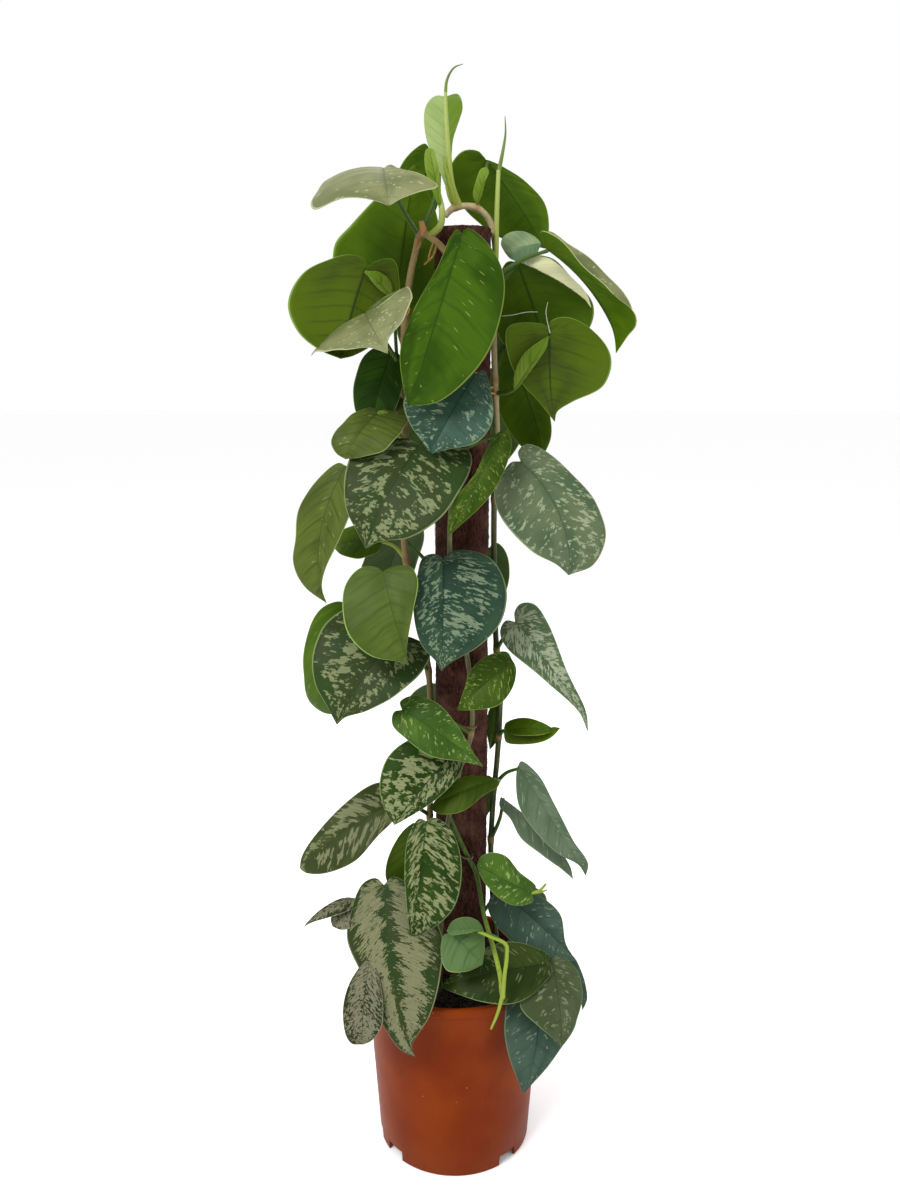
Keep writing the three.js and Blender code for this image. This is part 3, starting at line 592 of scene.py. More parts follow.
@dataclass(frozen=True)
class ShootFinish:
    """Stems, stalks and roots: green when young, corky where the knot attribute is high."""

    name: str
    young: int
    old: int
    cork: int = 0x9A7A50
    roughness: float = 0.5
    gloss: float = 0.2
    streak_scale: Scale = (700.0, 700.0, 60.0)
    streak_band: Span = (0.5, 0.72)
    streak_share: float = 0.45
    streak_dip: float = 0.62
    mottle_scale: float = 260.0
    mottle_share: float = 0.9
    cork_band: Span = (0.35, 0.95)
    cork_share: float = 0.7
    relief: Span = (0.4, 0.5)

    def dress(self) -> Material:
        """Builds the material, on the shoot's age and knot attributes."""
        bench = Bench(self.name)
        age = bench.attribute("age", "Fac")
        knot = bench.attribute("knot", "Fac")
        place = bench.object_place()
        streak = bench.noise(bench.stretched(place, self.streak_scale), 1.0, 3.0)
        mottle = bench.math("SUBTRACT", bench.noise(place, self.mottle_scale, 3.0, 0.6), 0.5)
        mottle = bench.times(mottle, bench.times(age, self.mottle_share))
        young, old = rgb(self.young), rgb(self.old)
        colour = bench.mix(bench.math("ADD", age, mottle, clamp=True), young, old)
        dark = tuple(c * self.streak_dip for c in old)
        line = bench.times(bench.rise(streak, *self.streak_band), self.streak_share)
        colour = bench.mix(line, colour, dark)
        colour = bench.layer(colour, self.cork, bench.rise(knot, *self.cork_band),
                             self.cork_share)
        normal = bench.bump(streak, *self.relief)
        return bench.finish(colour, self.roughness, normal, self.gloss)


class Stuff(Enum):
    """What a shoot is made of."""

    GREEN = ShootFinish("stem_green", 0x486A16, 0x4A5A24)
    DARK = ShootFinish("stem_dark", 0x2C4414, 0xD0BC8C, 0xA8824C)
    WOODY = ShootFinish("stem_woody", 0x6E7434, 0xAE9462, roughness=0.7)
    YOUNG = ShootFinish("stem_young", 0x9DB536, 0x90A83E, 0xB8C46A, roughness=0.42)
    TURNING = ShootFinish("stem_turning", 0x9DB536, 0x3C5E14, 0x9A8A4A)
    PALE = ShootFinish("shoot_pale", 0x98A42C, 0xC0D684, 0xA89A5A, roughness=0.45)
    TWIG = ShootFinish("shoot_twig", 0x7A9438, 0x5E7438, 0x8A8A4A, roughness=0.5)
    ROOT = ShootFinish("root_tan", 0xC89A62, 0xB0783E, 0x8A5A2C, roughness=0.75)
    HAIR = ShootFinish("root_hair", 0xDCDCC8, 0xC8C8B0, 0xC8C8B0, roughness=0.6)


@dataclass(frozen=True)
class CoirFinish:
    """Matted coir: purplish brown, with painted shade in its pits, paler on loose fibres."""

    name: str = "coir_mat"
    dark: int = 0x26120C
    middle: int = 0x583428
    light: int = 0x7E584A
    roughness: float = 0.92
    gloss: float = 0.08
    fibre_stretch: Scale = (1.0, 1.0, 0.28)
    fibre_scale: float = 620.0
    patch_scale: float = 34.0
    pit_stretch: Scale = (1.0, 1.0, 0.55)
    pit_scale: float = 420.0
    relief: Span = (0.9, 1.2)

    def dress(self) -> Material:
        """Builds the material on object coordinates."""
        bench = Bench(self.name)
        place = bench.object_place()
        fibre = bench.noise(bench.stretched(place, self.fibre_stretch), self.fibre_scale, 4.0,
                            0.65, 0.6)
        patchy = bench.noise(place, self.patch_scale, 3.0, 0.55)
        pit, _ = bench.cells(bench.stretched(place, self.pit_stretch), self.pit_scale)
        colour = bench.mix(bench.rise(fibre, 0.34, 0.66), rgb(self.dark), rgb(self.middle))
        colour = bench.layer(colour, self.light, bench.rise(patchy, 0.42, 0.7), 0.55)
        # Painted shade: the pits are darkened towards their deepest middles.
        colour = bench.layer(colour, self.dark, bench.rise(pit, 0.3, 0.05), 0.7)
        height = bench.math("ADD", fibre, bench.times(bench.rise(pit, 0.05, 0.35), 0.8))
        return bench.finish(colour, self.roughness, bench.bump(height, *self.relief), self.gloss)


@dataclass(frozen=True)
class PlasticFinish:
    """Moulded terracotta-coloured plastic with soft mottling, scuffs and dust specks."""

    name: str = "pot_plastic"
    ground: int = 0x903A06
    deep: int = 0x802E04
    scuff: int = 0x9C4412
    dust: int = 0xC98A66
    roughness: float = 0.32
    gloss: float = 0.05
    cloud_scale: float = 14.0
    flow_stretch: Scale = (1.0, 1.0, 0.12)
    flow_scale: float = 120.0
    dust_scale: float = 95.0
    dust_count: float = 0.16
    scratch_stretch: Scale = (1.0, 1.0, 9.0)
    scratch_scale: float = 60.0
    peel_scale: float = 900.0
    relief: Span = (0.1, 0.6)

    def dress(self) -> Material:
        """Builds the material on object coordinates."""
        bench = Bench(self.name)
        place = bench.object_place()
        cloud = bench.noise(place, self.cloud_scale, 3.0, 0.55)
        flow = bench.noise(bench.stretched(place, self.flow_stretch), self.flow_scale, 3.0, 0.6)
        colour = bench.mix(bench.rise(cloud, 0.35, 0.68), rgb(self.ground), rgb(self.deep))
        colour = bench.layer(colour, self.scuff, bench.rise(flow, 0.52, 0.8), 0.25)
        near, pick = bench.cells(place, self.dust_scale)
        speck = bench.times(bench.rise(near, 0.1, 0.05),
                            bench.math("LESS_THAN", pick, self.dust_count))
        colour = bench.layer(colour, self.dust, speck, 0.6)
        scratch = bench.noise(bench.stretched(place, self.scratch_stretch), self.scratch_scale,
                              4.0, 0.7)
        rough = bench.math("ADD", bench.times(scratch, 0.2), self.roughness)
        peel = bench.math("ADD", bench.noise(place, self.peel_scale), bench.times(flow, 0.6))
        return bench.finish(colour, rough, bench.bump(peel, *self.relief), self.gloss)


@dataclass(frozen=True)
class MixFinish:
    """Dark potting mix, or the chips of bark on it."""

    name: str
    ground: int
    light: int
    damp: int = 0x0B0806
    roughness: float = 0.9
    gloss: float = 0.3
    clump_scale: float = 160.0
    grain_scale: float = 260.0
    relief: Span = (0.8, 1.5)

    def dress(self) -> Material:
        """Builds the material on object coordinates."""
        bench = Bench(self.name)
        place = bench.object_place()
        clump = bench.noise(place, self.clump_scale, 5.0, 0.65)
        near, pick = bench.cells(place, self.grain_scale)
        colour = bench.mix(bench.rise(clump, 0.35, 0.7), rgb(self.ground), rgb(self.light))
        colour = bench.layer(colour, self.damp, pick, 0.35)
        normal = bench.bump(bench.math("ADD", clump, near), *self.relief)
        return bench.finish(colour, self.roughness, normal, self.gloss)


@dataclass(frozen=True)
class WireFinish:
    """Brown coated wire, rubbed lighter in places."""

    name: str = "pin_wire"
    coat: int = 0x5A3826
    rubbed: int = 0x8A6248
    roughness: float = 0.55
    rub_scale: float = 420.0
    relief: Span = (0.3, 0.3)

    def dress(self) -> Material:
        """Builds the material on object coordinates."""
        bench = Bench(self.name)
        rub = bench.noise(bench.object_place(), self.rub_scale, 3.0)
        colour = bench.mix(bench.rise(rub, 0.4, 0.7), rgb(self.coat), rgb(self.rubbed))
        return bench.finish(colour, self.roughness, bench.bump(rub, *self.relief))


@dataclass(frozen=True)
class FloorFinish:
    """The plain pale floor."""

    name: str = "floor_paint"
    pale: Rgb = (0.985, 0.985, 0.985)
    paler: Rgb = (0.98, 0.98, 0.98)
    roughness: float = 0.7
    grain_scale: float = 40.0
    grain_share: float = 0.1
    relief: Span = (0.02, 0.5)

    def dress(self) -> Material:
        """Builds the material on object coordinates."""
        bench = Bench(self.name)
        fine = bench.noise(bench.object_place(), self.grain_scale)
        colour = bench.mix(bench.times(fine, self.grain_share), self.pale, self.paler)
        return bench.finish(colour, self.roughness, bench.bump(fine, *self.relief))


class Shelf:
    """Keeps each finish's material, so that it is built once."""

    def __init__(self) -> None:
        """Starts empty."""
        self.made: dict[str, Material] = {}

    def take(self, finish: object) -> Material:
        """Gives a finish's material, and builds it the first time."""
        if finish.name not in self.made:
            self.made[finish.name] = finish.dress()
        return self.made[finish.name]


SHELF = Shelf()


# Working on meshes

def select_only(*pieces: Piece) -> None:
    """Deselects everything, then selects the pieces and makes the first one active."""
    bpy.ops.object.select_all(action="DESELECT")
    for piece in pieces:
        piece.select_set(True)
    bpy.context.view_layer.objects.active = pieces[0]


def started(name: str, primitive: Callable[..., set[str]], **settings: object) -> Piece:
    """Adds a primitive with nothing else selected, and names it."""
    bpy.ops.object.select_all(action="DESELECT")
    primitive(**settings)
    made = bpy.context.object
    made.name = name
    return made


def paint(piece: Piece, *finishes: object) -> None:
    """Gives a piece its finishes, in the order of its faces' slots."""
    piece.data.materials.clear()
    for finish in finishes:
        piece.data.materials.append(SHELF.take(finish))


def add_modifier(piece: Piece, kind: str, **settings: object) -> None:
    """Adds a modifier, sets it and applies it."""
    select_only(piece)
    modifier = piece.modifiers.new(kind.lower(), kind)
    for key, value in settings.items():
        setattr(modifier, key, value)
    bpy.ops.object.modifier_apply(modifier=modifier.name)


def joined(name: str, pieces: Sequence[Piece]) -> Piece:
    """Joins pieces into one object of that name."""
    select_only(*pieces)
    if len(pieces) > 1:
        bpy.ops.object.join()
    whole = bpy.context.object
    whole.name = name
    whole.data.name = name
    return whole


def settle(piece: Piece, slot: str, *nodes: str) -> None:
    """Puts a finished piece on the body, hides the CAD nodes that it stands for and logs its triangles.

    Args:
        piece: The finished piece.
        slot: Not used.
        *nodes: The CAD nodes that it stands for.
    """
    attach(piece, BODY)
    if nodes:
        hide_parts(*nodes)
    faces = sum(len(face.vertices) - 2 for face in piece.data.polygons)
    LOG.info("%s: %d triangles", piece.name, faces)


def turned(name: str, profile: Sequence[Span], steps: int) -> Piece:
    """Draws a round body by extruding and resizing one disc along a profile.

    Args:
        name: The object's name.
        profile: Radius and height pairs, from the first disc to the last one.
        steps: How many sides the body has.

    Returns:
        The closed body.
    """
    radius, height = profile[0]
    body = started(name, bpy.ops.mesh.primitive_circle_add, vertices=steps, radius=radius,
                   fill_type="NGON", location=(0, 0, height))
    bpy.ops.object.transform_apply(location=True, rotation=True, scale=True)
    bpy.ops.object.mode_set(mode="EDIT")
    bpy.ops.mesh.select_all(action="SELECT")
    for next_radius, next_height in profile[1:]:
        bpy.ops.mesh.extrude_region_move(
            TRANSFORM_OT_translate={"value": (0, 0, next_height - height)})
        ratio = next_radius / radius
        bpy.ops.transform.resize(value=(ratio, ratio, 1),
                                 center_override=(0, 0, next_height))
        radius, height = next_radius, next_height
    bpy.ops.mesh.select_all(action="SELECT")
    bpy.ops.mesh.normals_make_consistent(inside=False)
    bpy.ops.object.mode_set(mode="OBJECT")
    return body


def tube(name: str, route: Sequence[Vector], radii: Sequence[float], resolution: int = 3
         ) -> Piece:
    """Makes a capped tube along a route.

    Args:
        name: The object's name.
        route: The tube's centre line.
        radii: The radius at each place of the route, in metres.
        resolution: The roundness of the section.

    Returns:
        A mesh whose points stand ring by ring along the route.
    """
    curve = started(name, bpy.ops.curve.primitive_nurbs_path_add).data
    curve.splines.clear()
    spline = curve.splines.new("POLY")
    spline.points.add(len(route) - 1)
    spline.points.foreach_set("co", [c for place in route for c in (*place, 1.0)])
    spline.points.foreach_set("radius", [float(radius) / MM for radius in radii])
    curve.bevel_depth = MM
    curve.bevel_resolution = resolution
    curve.use_fill_caps = True
    bpy.ops.object.convert(target="MESH")
    made = bpy.context.object
    made.data.shade_smooth()
    return made


def write_values(mesh: bpy.types.Mesh, name: str, values: np.ndarray) -> None:
    """Stores one number per point in the mesh's own attribute."""
    layer = mesh.attributes.new(name, "FLOAT", "POINT")
    layer.data.foreach_set("value", np.asarray(values, np.float32))


# Blades

@dataclass(frozen=True)
class Bend:
    """How a blade is shaped.

    Bow, arch and hook are shares of the length, cup of the half width, and fold is in degrees.
    """

    bow: float = 0.0
    arch: float = 0.1
    fold: float = 8.0
    cup: float = 0.12
    hook: float = 0.05


@dataclass
class Leaf:
    """One leaf: where its stalk runs, where its blade hangs, and how both look.

    A sheath or a folded-over lobe is a blade with no stalk. Sides holds the pixels that the two
    margins pass through, from the joint to the tip. Without them the margins are the maker's own.
    """

    look: Look
    stalk: Route
    joint: Vector
    tip: Vector
    width: float
    face: Vector
    bend: Bend = field(default_factory=Bend)
    under: Underside = Underside.SHADED
    stuff: Stuff = Stuff.GREEN
    sides: Sequence[Margin] = ()


def leaf(look: Look, stalk: Sequence[Place], joint: Place, tip: Place, width: float,
         face: Span, under: Underside = Underside.SHADED, stuff: Stuff = Stuff.GREEN,
         sides: Sequence[Margin] = (), **bend: float) -> Leaf:
    """Reads a row of a table, whose places are named as the front view shows them."""
    return Leaf(look, seen_route(*stalk), EYE.seen(*joint), EYE.seen(*tip),
                width * MM, heading(*face), Bend(**bend), under, stuff, sides)


@dataclass(frozen=True)
class FarLeaf:
    """How a leaf on the far side leaves its stem and hangs outward."""

    out: float = 34.0
    foot_drop: float = 45.0
    knee_share: float = 0.35
    knee_drop: float = 12.0
    joint_share: float = 0.55
    face_rise: float = 35.0

    def hang(self, look: Look, angle: float, height: float, reach: float, drop: float,
             width: float, lean: float = 0.0) -> Leaf:
        """Hangs one leaf outward from the pole.

        Args:
            look: The look of its upper face.
            angle: Where it leaves the stem, in degrees round the pole.
            height: The height of the blade's joint.
            reach: How far out from the stem its tip hangs.
            drop: How far the tip hangs below the joint.
            width: The blade's width.
            lean: How far round the tip swings.

        Returns:
            The leaf.
        """
        tip_angle = angle + lean
        knee = self.out + reach * self.knee_share
        stalk = [around(angle, self.out, height - self.foot_drop),
                 around(angle, knee, height - self.knee_drop)]
        joint = around(angle, self.out + reach * self.joint_share, height)
        tip = around(tip_angle, self.out + reach, height - drop)
        return Leaf(look, stalk, joint, tip, width * MM, heading(tip_angle, self.face_rise))


@dataclass
class BladeMaker:
    """Bends copies of one flat blank into blades."""

    seed: int
    rows: int = 52
    columns: int = 13
    thickness: float = 0.55 * MM
    weld: float = 0.03 * MM
    outline: Sequence[Span] = ((0, 0), (-0.07, 0.2), (-0.09, 0.45), (-0.01, 0.74), (0.15, 0.94),
                               (0.36, 1), (0.58, 0.87), (0.77, 0.56), (0.9, 0.24), (1, 0))
    vein_sweep: float = 0.22
    vein_curve: float = 1.25
    vein_run: float = 1.3
    lobe_reach: float = -0.2
    hook_start: float = 0.78
    groove_depth: float = 0.5 * MM
    groove_width: float = 1.6 * MM
    quilt_depth: float = 0.22 * MM
    quilt_count: int = 9
    wave_depth: float = 0.8 * MM
    wave_half: float = 40 * MM
    wave_beats: Span = (13, 19)
    wave_offset: float = 1.7
    pattern_span: float = 3.0
    tries: int = 16
    nudge: float = 0.001
    stride: float = 0.25

    def __post_init__(self) -> None:
        """Models the blank: a flat grid with its UV map."""
        self.luck = random.Random(self.seed)
        self.blank = started("blade_blank", bpy.ops.mesh.primitive_grid_add, size=2,
                             x_subdivisions=self.rows, y_subdivisions=2 * self.columns,
                             calc_uvs=True)
        self.blank.data.uv_layers[0].name = BLADE_MAP
        flat = np.empty(len(self.blank.data.vertices) * 3)
        self.blank.data.vertices.foreach_get("co", flat)
        flat = flat.reshape(-1, 3)
        self.along = (flat[:, 0] + 1) / 2
        self.across = flat[:, 1]

    def outline_at(self, shares: np.ndarray) -> tuple[np.ndarray, np.ndarray]:
        """Reads the smooth outline at shares of its run."""
        points = np.array(self.outline, float)
        last = len(points) - 1
        at = shares * last
        first = np.minimum(np.floor(at).astype(int), last)
        t = (at - first)[:, None]
        p0 = points[np.maximum(first - 1, 0)]
        p1 = points[first]
        p2 = points[np.minimum(first + 1, last)]
        p3 = points[np.minimum(first + 2, last)]
        v0, v1 = (p2 - p0) / 2, (p3 - p1) / 2
        place = ((2 * p1 - 2 * p2 + v0 + v1) * t ** 3
                 + (-3 * p1 + 3 * p2 - 2 * v0 - v1) * t ** 2 + v0 * t + p1)
        return place[:, 0], np.maximum(place[:, 1], 0)

    def bent(self, leaf: Leaf, along: np.ndarray, across: np.ndarray, side: np.ndarray,
             lift: np.ndarray) -> np.ndarray:
        """Bends flat places onto the blade's surface.

        Args:
            leaf: The leaf.
            along: Shares of the length.
            across: Shares of the half width.
            side: 1 on the leaf's right half and -1 on its left.
            lift: Extra height above the surface, in metres.

        Returns:
            The places in space, one row each.
        """
        bend = leaf.bend
        axis = leaf.tip - leaf.joint
        length = axis.length
        axis.normalize()
        normal = (leaf.face - axis * leaf.face.dot(axis)).normalized()
        right = normal.cross(axis)
        half = leaf.width / 2
        span = 2 * np.clip(along, self.lobe_reach, 1) - 1
        rise = across * half * math.sin(math.radians(bend.fold))
        spread = across * half * math.cos(math.radians(bend.fold))
        late = np.maximum(0, (along - self.hook_start) / (1 - self.hook_start))
        y = side * spread + bend.bow * length * (1 - span ** 2)
        z = (bend.arch * length * (1 - span ** 2) - bend.cup * half * across ** 2
             - bend.hook * length * late ** 2 + lift + rise)
        return (np.array(leaf.joint) + (along * length)[:, None] * np.array(axis)
                + y[:, None] * np.array(right) + z[:, None] * np.array(normal))

    def shown(self, leaf: Leaf, flat: np.ndarray, side: float) -> np.ndarray:
        """Finds the pixels that flat places of one half show at."""
        count = len(flat)
        return EYE.pixels(self.bent(leaf, flat[:, 0], flat[:, 1], np.full(count, side),
                                    np.zeros(count)))

    def flattened(self, leaf: Leaf, margin: np.ndarray, side: float) -> np.ndarray:
        """Finds the flat places of one half that show at a margin's pixels.

        Args:
            leaf: The leaf.
            margin: The pixels, one a row.
            side: 1 for the leaf's right half and -1 for its left.

        Returns:
            Shares of the length and of the half width, one row each.
        """
        flat = np.full((len(margin), 2), 0.5)
        for _ in range(self.tries):
            here = self.shown(leaf, flat, side)
            slopes = [(self.shown(leaf, flat + np.array(nudge), side) - here) / self.nudge
                      for nudge in ((self.nudge, 0), (0, self.nudge))]
            step = np.linalg.solve(np.stack(slopes, axis=2), (margin - here)[:, :, None])
            flat += np.clip(step[:, :, 0], -self.stride, self.stride)
        return flat

    def margins(self, leaf: Leaf, shares: np.ndarray) -> list[tuple[np.ndarray, np.ndarray]]:
        """Reads a blade's margins.

        Args:
            leaf: The leaf.
            shares: Shares of a margin's run.

        Returns:
            For the left half and the right, shares of the length and of the half width.
        """
        if not leaf.sides:
            return [self.outline_at(shares)] * 2
        rows = [np.array(margin, float) for margin in leaf.sides]
        rows.sort(key=lambda row: self.flattened(leaf, row, 1)[:, 1].mean())
        length, half = (leaf.tip - leaf.joint).length, leaf.width / 2
        read = []
        for side, row in zip((-1, 1), rows):
            inner = [Vector((along * length, max(across, 0) * half, 0))
                     for along, across in self.flattened(leaf, row, side)]
            route = flowing([Vector(), *inner, Vector((length, 0, 0))], MM)
            run = np.linspace(0, 1, len(route))
            read.append((np.interp(shares, run, [place.x / length for place in route]),
                         np.interp(shares, run, [max(place.y, 0) / half for place in route])))
        return read

    def rib_foot(self, leaf: Leaf, reach: float) -> Vector:
        """A place on the midrib, a little way in from the joint."""
        share = reach / (leaf.tip - leaf.joint).length
        return Vector(self.bent(leaf, np.array([share]), np.zeros(1), np.ones(1), np.zeros(1))[0])

    def make(self, leaf: Leaf, name: str) -> Piece:
        """Makes one blade with its two faces dressed.

        Args:
            leaf: The leaf.
            name: The object's name.

        Returns:
            A closed thin blade.
        """
        blade = self.blank.copy()
        blade.data = self.blank.data.copy()
        blade.name = name
        bpy.context.collection.objects.link(blade)
        share = np.abs(self.across)
        side = np.where(self.across < 0, -1.0, 1.0)
        (left_reach, left_width), (right_reach, right_width) = self.margins(leaf, self.along)
        reach = np.where(side > 0, right_reach, left_reach)
        root = (left_reach + right_reach - self.vein_sweep * (left_width + right_width)) / 2
        root = np.clip(root, 0, 1)
        along = root + (reach - root) * share ** self.vein_curve
        across = np.where(side > 0, right_width, left_width) * share
        half = leaf.width / 2
        length = (leaf.tip - leaf.joint).length
        phase = self.luck.uniform(0, FULL_TURN)
        beats = self.luck.uniform(*self.wave_beats)
        window = np.sin(np.pi * np.clip(along, 0, 1)) ** 0.5
        groove = -self.groove_depth * np.exp(-(across * half / self.groove_width) ** 2) * window
        quilt = (self.quilt_depth * np.sin(2 * np.pi * self.quilt_count * self.along)
                 * np.sin(np.pi * share) * window)
        offset = np.where(side > 0, 0, self.wave_offset)
        wave = (self.wave_depth * min(1.0, half / self.wave_half) * share ** 3 * window
                * np.sin(beats * along + phase + offset))
        places = self.bent(leaf, along, across, side, groove + quilt + wave)
        blade.data.vertices.foreach_set("co", places.ravel())
        seed = self.luck.uniform(0, self.pattern_span)
        run = np.column_stack((self.along * length * self.vein_run, share * half,
                               np.full_like(share, seed)))
        layer = blade.data.attributes.new("vein_run", "FLOAT_VECTOR", "POINT")
        layer.data.foreach_set("vector", run.astype(np.float32).ravel())
        paint(blade, leaf.look.value, leaf.under.value)
        blade.data.update()
        add_modifier(blade, "WELD", merge_threshold=self.weld)
        add_modifier(blade, "SOLIDIFY", thickness=self.thickness, offset=0.0,
                     material_offset=1, material_offset_rim=0)
        blade.data.shade_smooth()
        return blade


# Vines

@dataclass
class Shoot:
    """A rolled young leaf, a sheath, a bare shoot or a root: a tapering spear."""

    thick: float
    thin: float
    route: Route
    stuff: Stuff = Stuff.YOUNG
    joined: bool = True
    taper: float = 1.5


def shoot(thick: float, thin: float, *places: Place, stuff: Stuff = Stuff.YOUNG,
          joined: bool = True, taper: float = 1.5) -> Shoot:
    """Reads a shoot whose places are named as the front view shows them."""
    return Shoot(thick * MM, thin * MM, seen_route(*places), stuff, joined, taper)


@dataclass
class Vine:
    """A stem with its stalks, blades, shoots and side stems."""

    name: str
    slot: str
    radius: float
    route: Route
    leaves: Sequence[Leaf]
    shoots: Sequence[Shoot] = ()
    branches: Sequence["Vine"] = ()
    stuff: Stuff = Stuff.GREEN
    ages: Sequence[Span] = ((0.2, 0.1), (0.95, 0.2))
    soil_grip: float = 0.045
    soil_top: float = 0.184
    step: float = 3.2 * MM
    stalk_radii: Span = (2.3 * MM, 1.5 * MM)
    stalk_ages: Sequence[Span] = ((0, 0.45), (0.2, 0.15), (1, 0.05))
    stalk_swell: float = 0.22
    stalk_swell_at: float = 0.97
    stalk_swell_reach: float = 0.06
    shoot_ages: Span = (0.1, 0.6)
    into_blade: float = 2.5 * MM
    knot_reach: float = 4.5 * MM
    knot_swell: float = 0.3

    def swelling(self, route: Route, knots: Sequence[Vector]) -> np.ndarray:
        """How near each place of a route is to a knot, from 0 to 1."""
        near = [min([(place - knot).length for knot in knots] or [1.0]) for place in route]
        return np.exp(-(np.array(near) / self.knot_reach) ** 2)

    def dress_tube(self, piece: Piece, route: Route, knots: Sequence[Vector], stuff: Stuff,
                   ages: np.ndarray) -> Piece:
        """Gives a tube its attributes and its material."""
        points = np.array([point.co[:] for point in piece.data.vertices])
        gaps = np.linalg.norm(points[:, None] - np.array([place[:] for place in route]), axis=2)
        owner = gaps.argmin(axis=1)
        write_values(piece.data, "knot", self.swelling(route, knots)[owner])
        write_values(piece.data, "age", np.asarray(ages)[owner])
        paint(piece, stuff.value)
        return piece

    def grow_stem(self, foot: bool) -> tuple[Route, Piece]:
        """Grows the stem, thicker at its knots, on a straight foot in the soil if asked."""
        route = flowing(self.route, self.step)
        knots = [nearest(route, leaf.stalk[0]) for leaf in self.leaves if leaf.stalk]
        heights = np.array([place.z for place in route])
        ages = np.interp(heights, *zip(*self.ages))
        radii = self.radius * (1 + self.knot_swell * self.swelling(route, knots))
        if foot:
            root = route[0]
            low = Vector((root.x, root.y, self.soil_top - self.soil_grip))
            route = [low, *route]
            radii = np.concatenate(([self.radius], radii))
            ages = np.concatenate(([ages[0]], ages))
        stem = tube(f"{self.name}_stem", route, radii, 4)
        return route, self.dress_tube(stem, route, knots, self.stuff, ages)

    def grow_stalk(self, leaf: Leaf, spine: Route, maker: BladeMaker) -> Piece:
        """Grows a stalk from the stem to the root of the blade's midrib."""
        foot = nearest(spine, leaf.stalk[0])
        rib = maker.rib_foot(leaf, self.into_blade)
        route = flowing([foot, *leaf.stalk[1:], rib], self.step)
        thick, thin = self.stalk_radii
        shares = np.linspace(0, 1, len(route))
        radii = thick + (thin - thick) * shares
        near = (shares - self.stalk_swell_at) / self.stalk_swell_reach
        radii *= 1 + self.stalk_swell * np.exp(-near ** 2)
        piece = tube(f"{self.name}_stalk", route, radii)
        ages = np.interp(shares, *zip(*self.stalk_ages))
        return self.dress_tube(piece, route, [route[0]], leaf.stuff, ages)

    def grow_shoot(self, young: Shoot, spine: Route) -> Piece:
        """Grows a tapering shoot from the stem, or free of it where it isn't joined."""
        places = list(young.route)
        if young.joined:
            places[0] = nearest(spine, places[0])
        route = flowing(places, self.step / 2)
        shares = np.linspace(0, 1, len(route))
        radii = young.thick + (young.thin - young.thick) * shares ** young.taper
        piece = tube(f"{self.name}_shoot", route, radii)
        ages = np.linspace(*self.shoot_ages, len(route))
        return self.dress_tube(piece, route, [], young.stuff, ages)

    def grow(self, maker: BladeMaker, foot: bool = True) -> tuple[list[Piece], list[Piece]]:
        """Grows the whole vine.

        Args:
            maker: What makes the blades.
            foot: Whether the stem stands in the soil.

        Returns:
            The loose green tubes, and the loose blades.
        """
        spine, stem = self.grow_stem(foot)
        tubes, blades = [stem], []
        for leaf in self.leaves:
            if leaf.stalk:
                tubes.append(self.grow_stalk(leaf, spine, maker))
            blades.append(maker.make(leaf, f"{self.name}_blade"))
        tubes += [self.grow_shoot(young, spine) for young in self.shoots]
        for branch in self.branches:
            branch.route[0] = nearest(spine, branch.route[0])
            more_tubes, more_blades = branch.grow(maker, foot=False)
            tubes += more_tubes
            blades += more_blades
        return tubes, blades

    def build(self, maker: BladeMaker) -> None:
        """Builds and settles the vine's two pieces."""
        tubes, blades = self.grow(maker)
        settle(joined(f"{self.name}_stems", tubes), self.slot, self.name)
        settle(joined(f"{self.name}_blades", blades), self.slot, self.name)


def far_route(angle: float, beat: float, start: float) -> Route:
    """A stem on the far side, which wanders a little to and fro up the pole."""
    heights = (190, 260, 340, 420, 500, 580, 660, 740, 800, 850)
    radius, sway = 31.5, 6
    return [around(angle + sway * math.sin(beat * step + start), radius, height)
            for step, height in enumerate(heights)]


# The plant. A place is a pixel across and down the front view, and millimetres in front of
# the pole. A leaf has its look, stalk, joint, tip, width and heading, then what sets it apart.

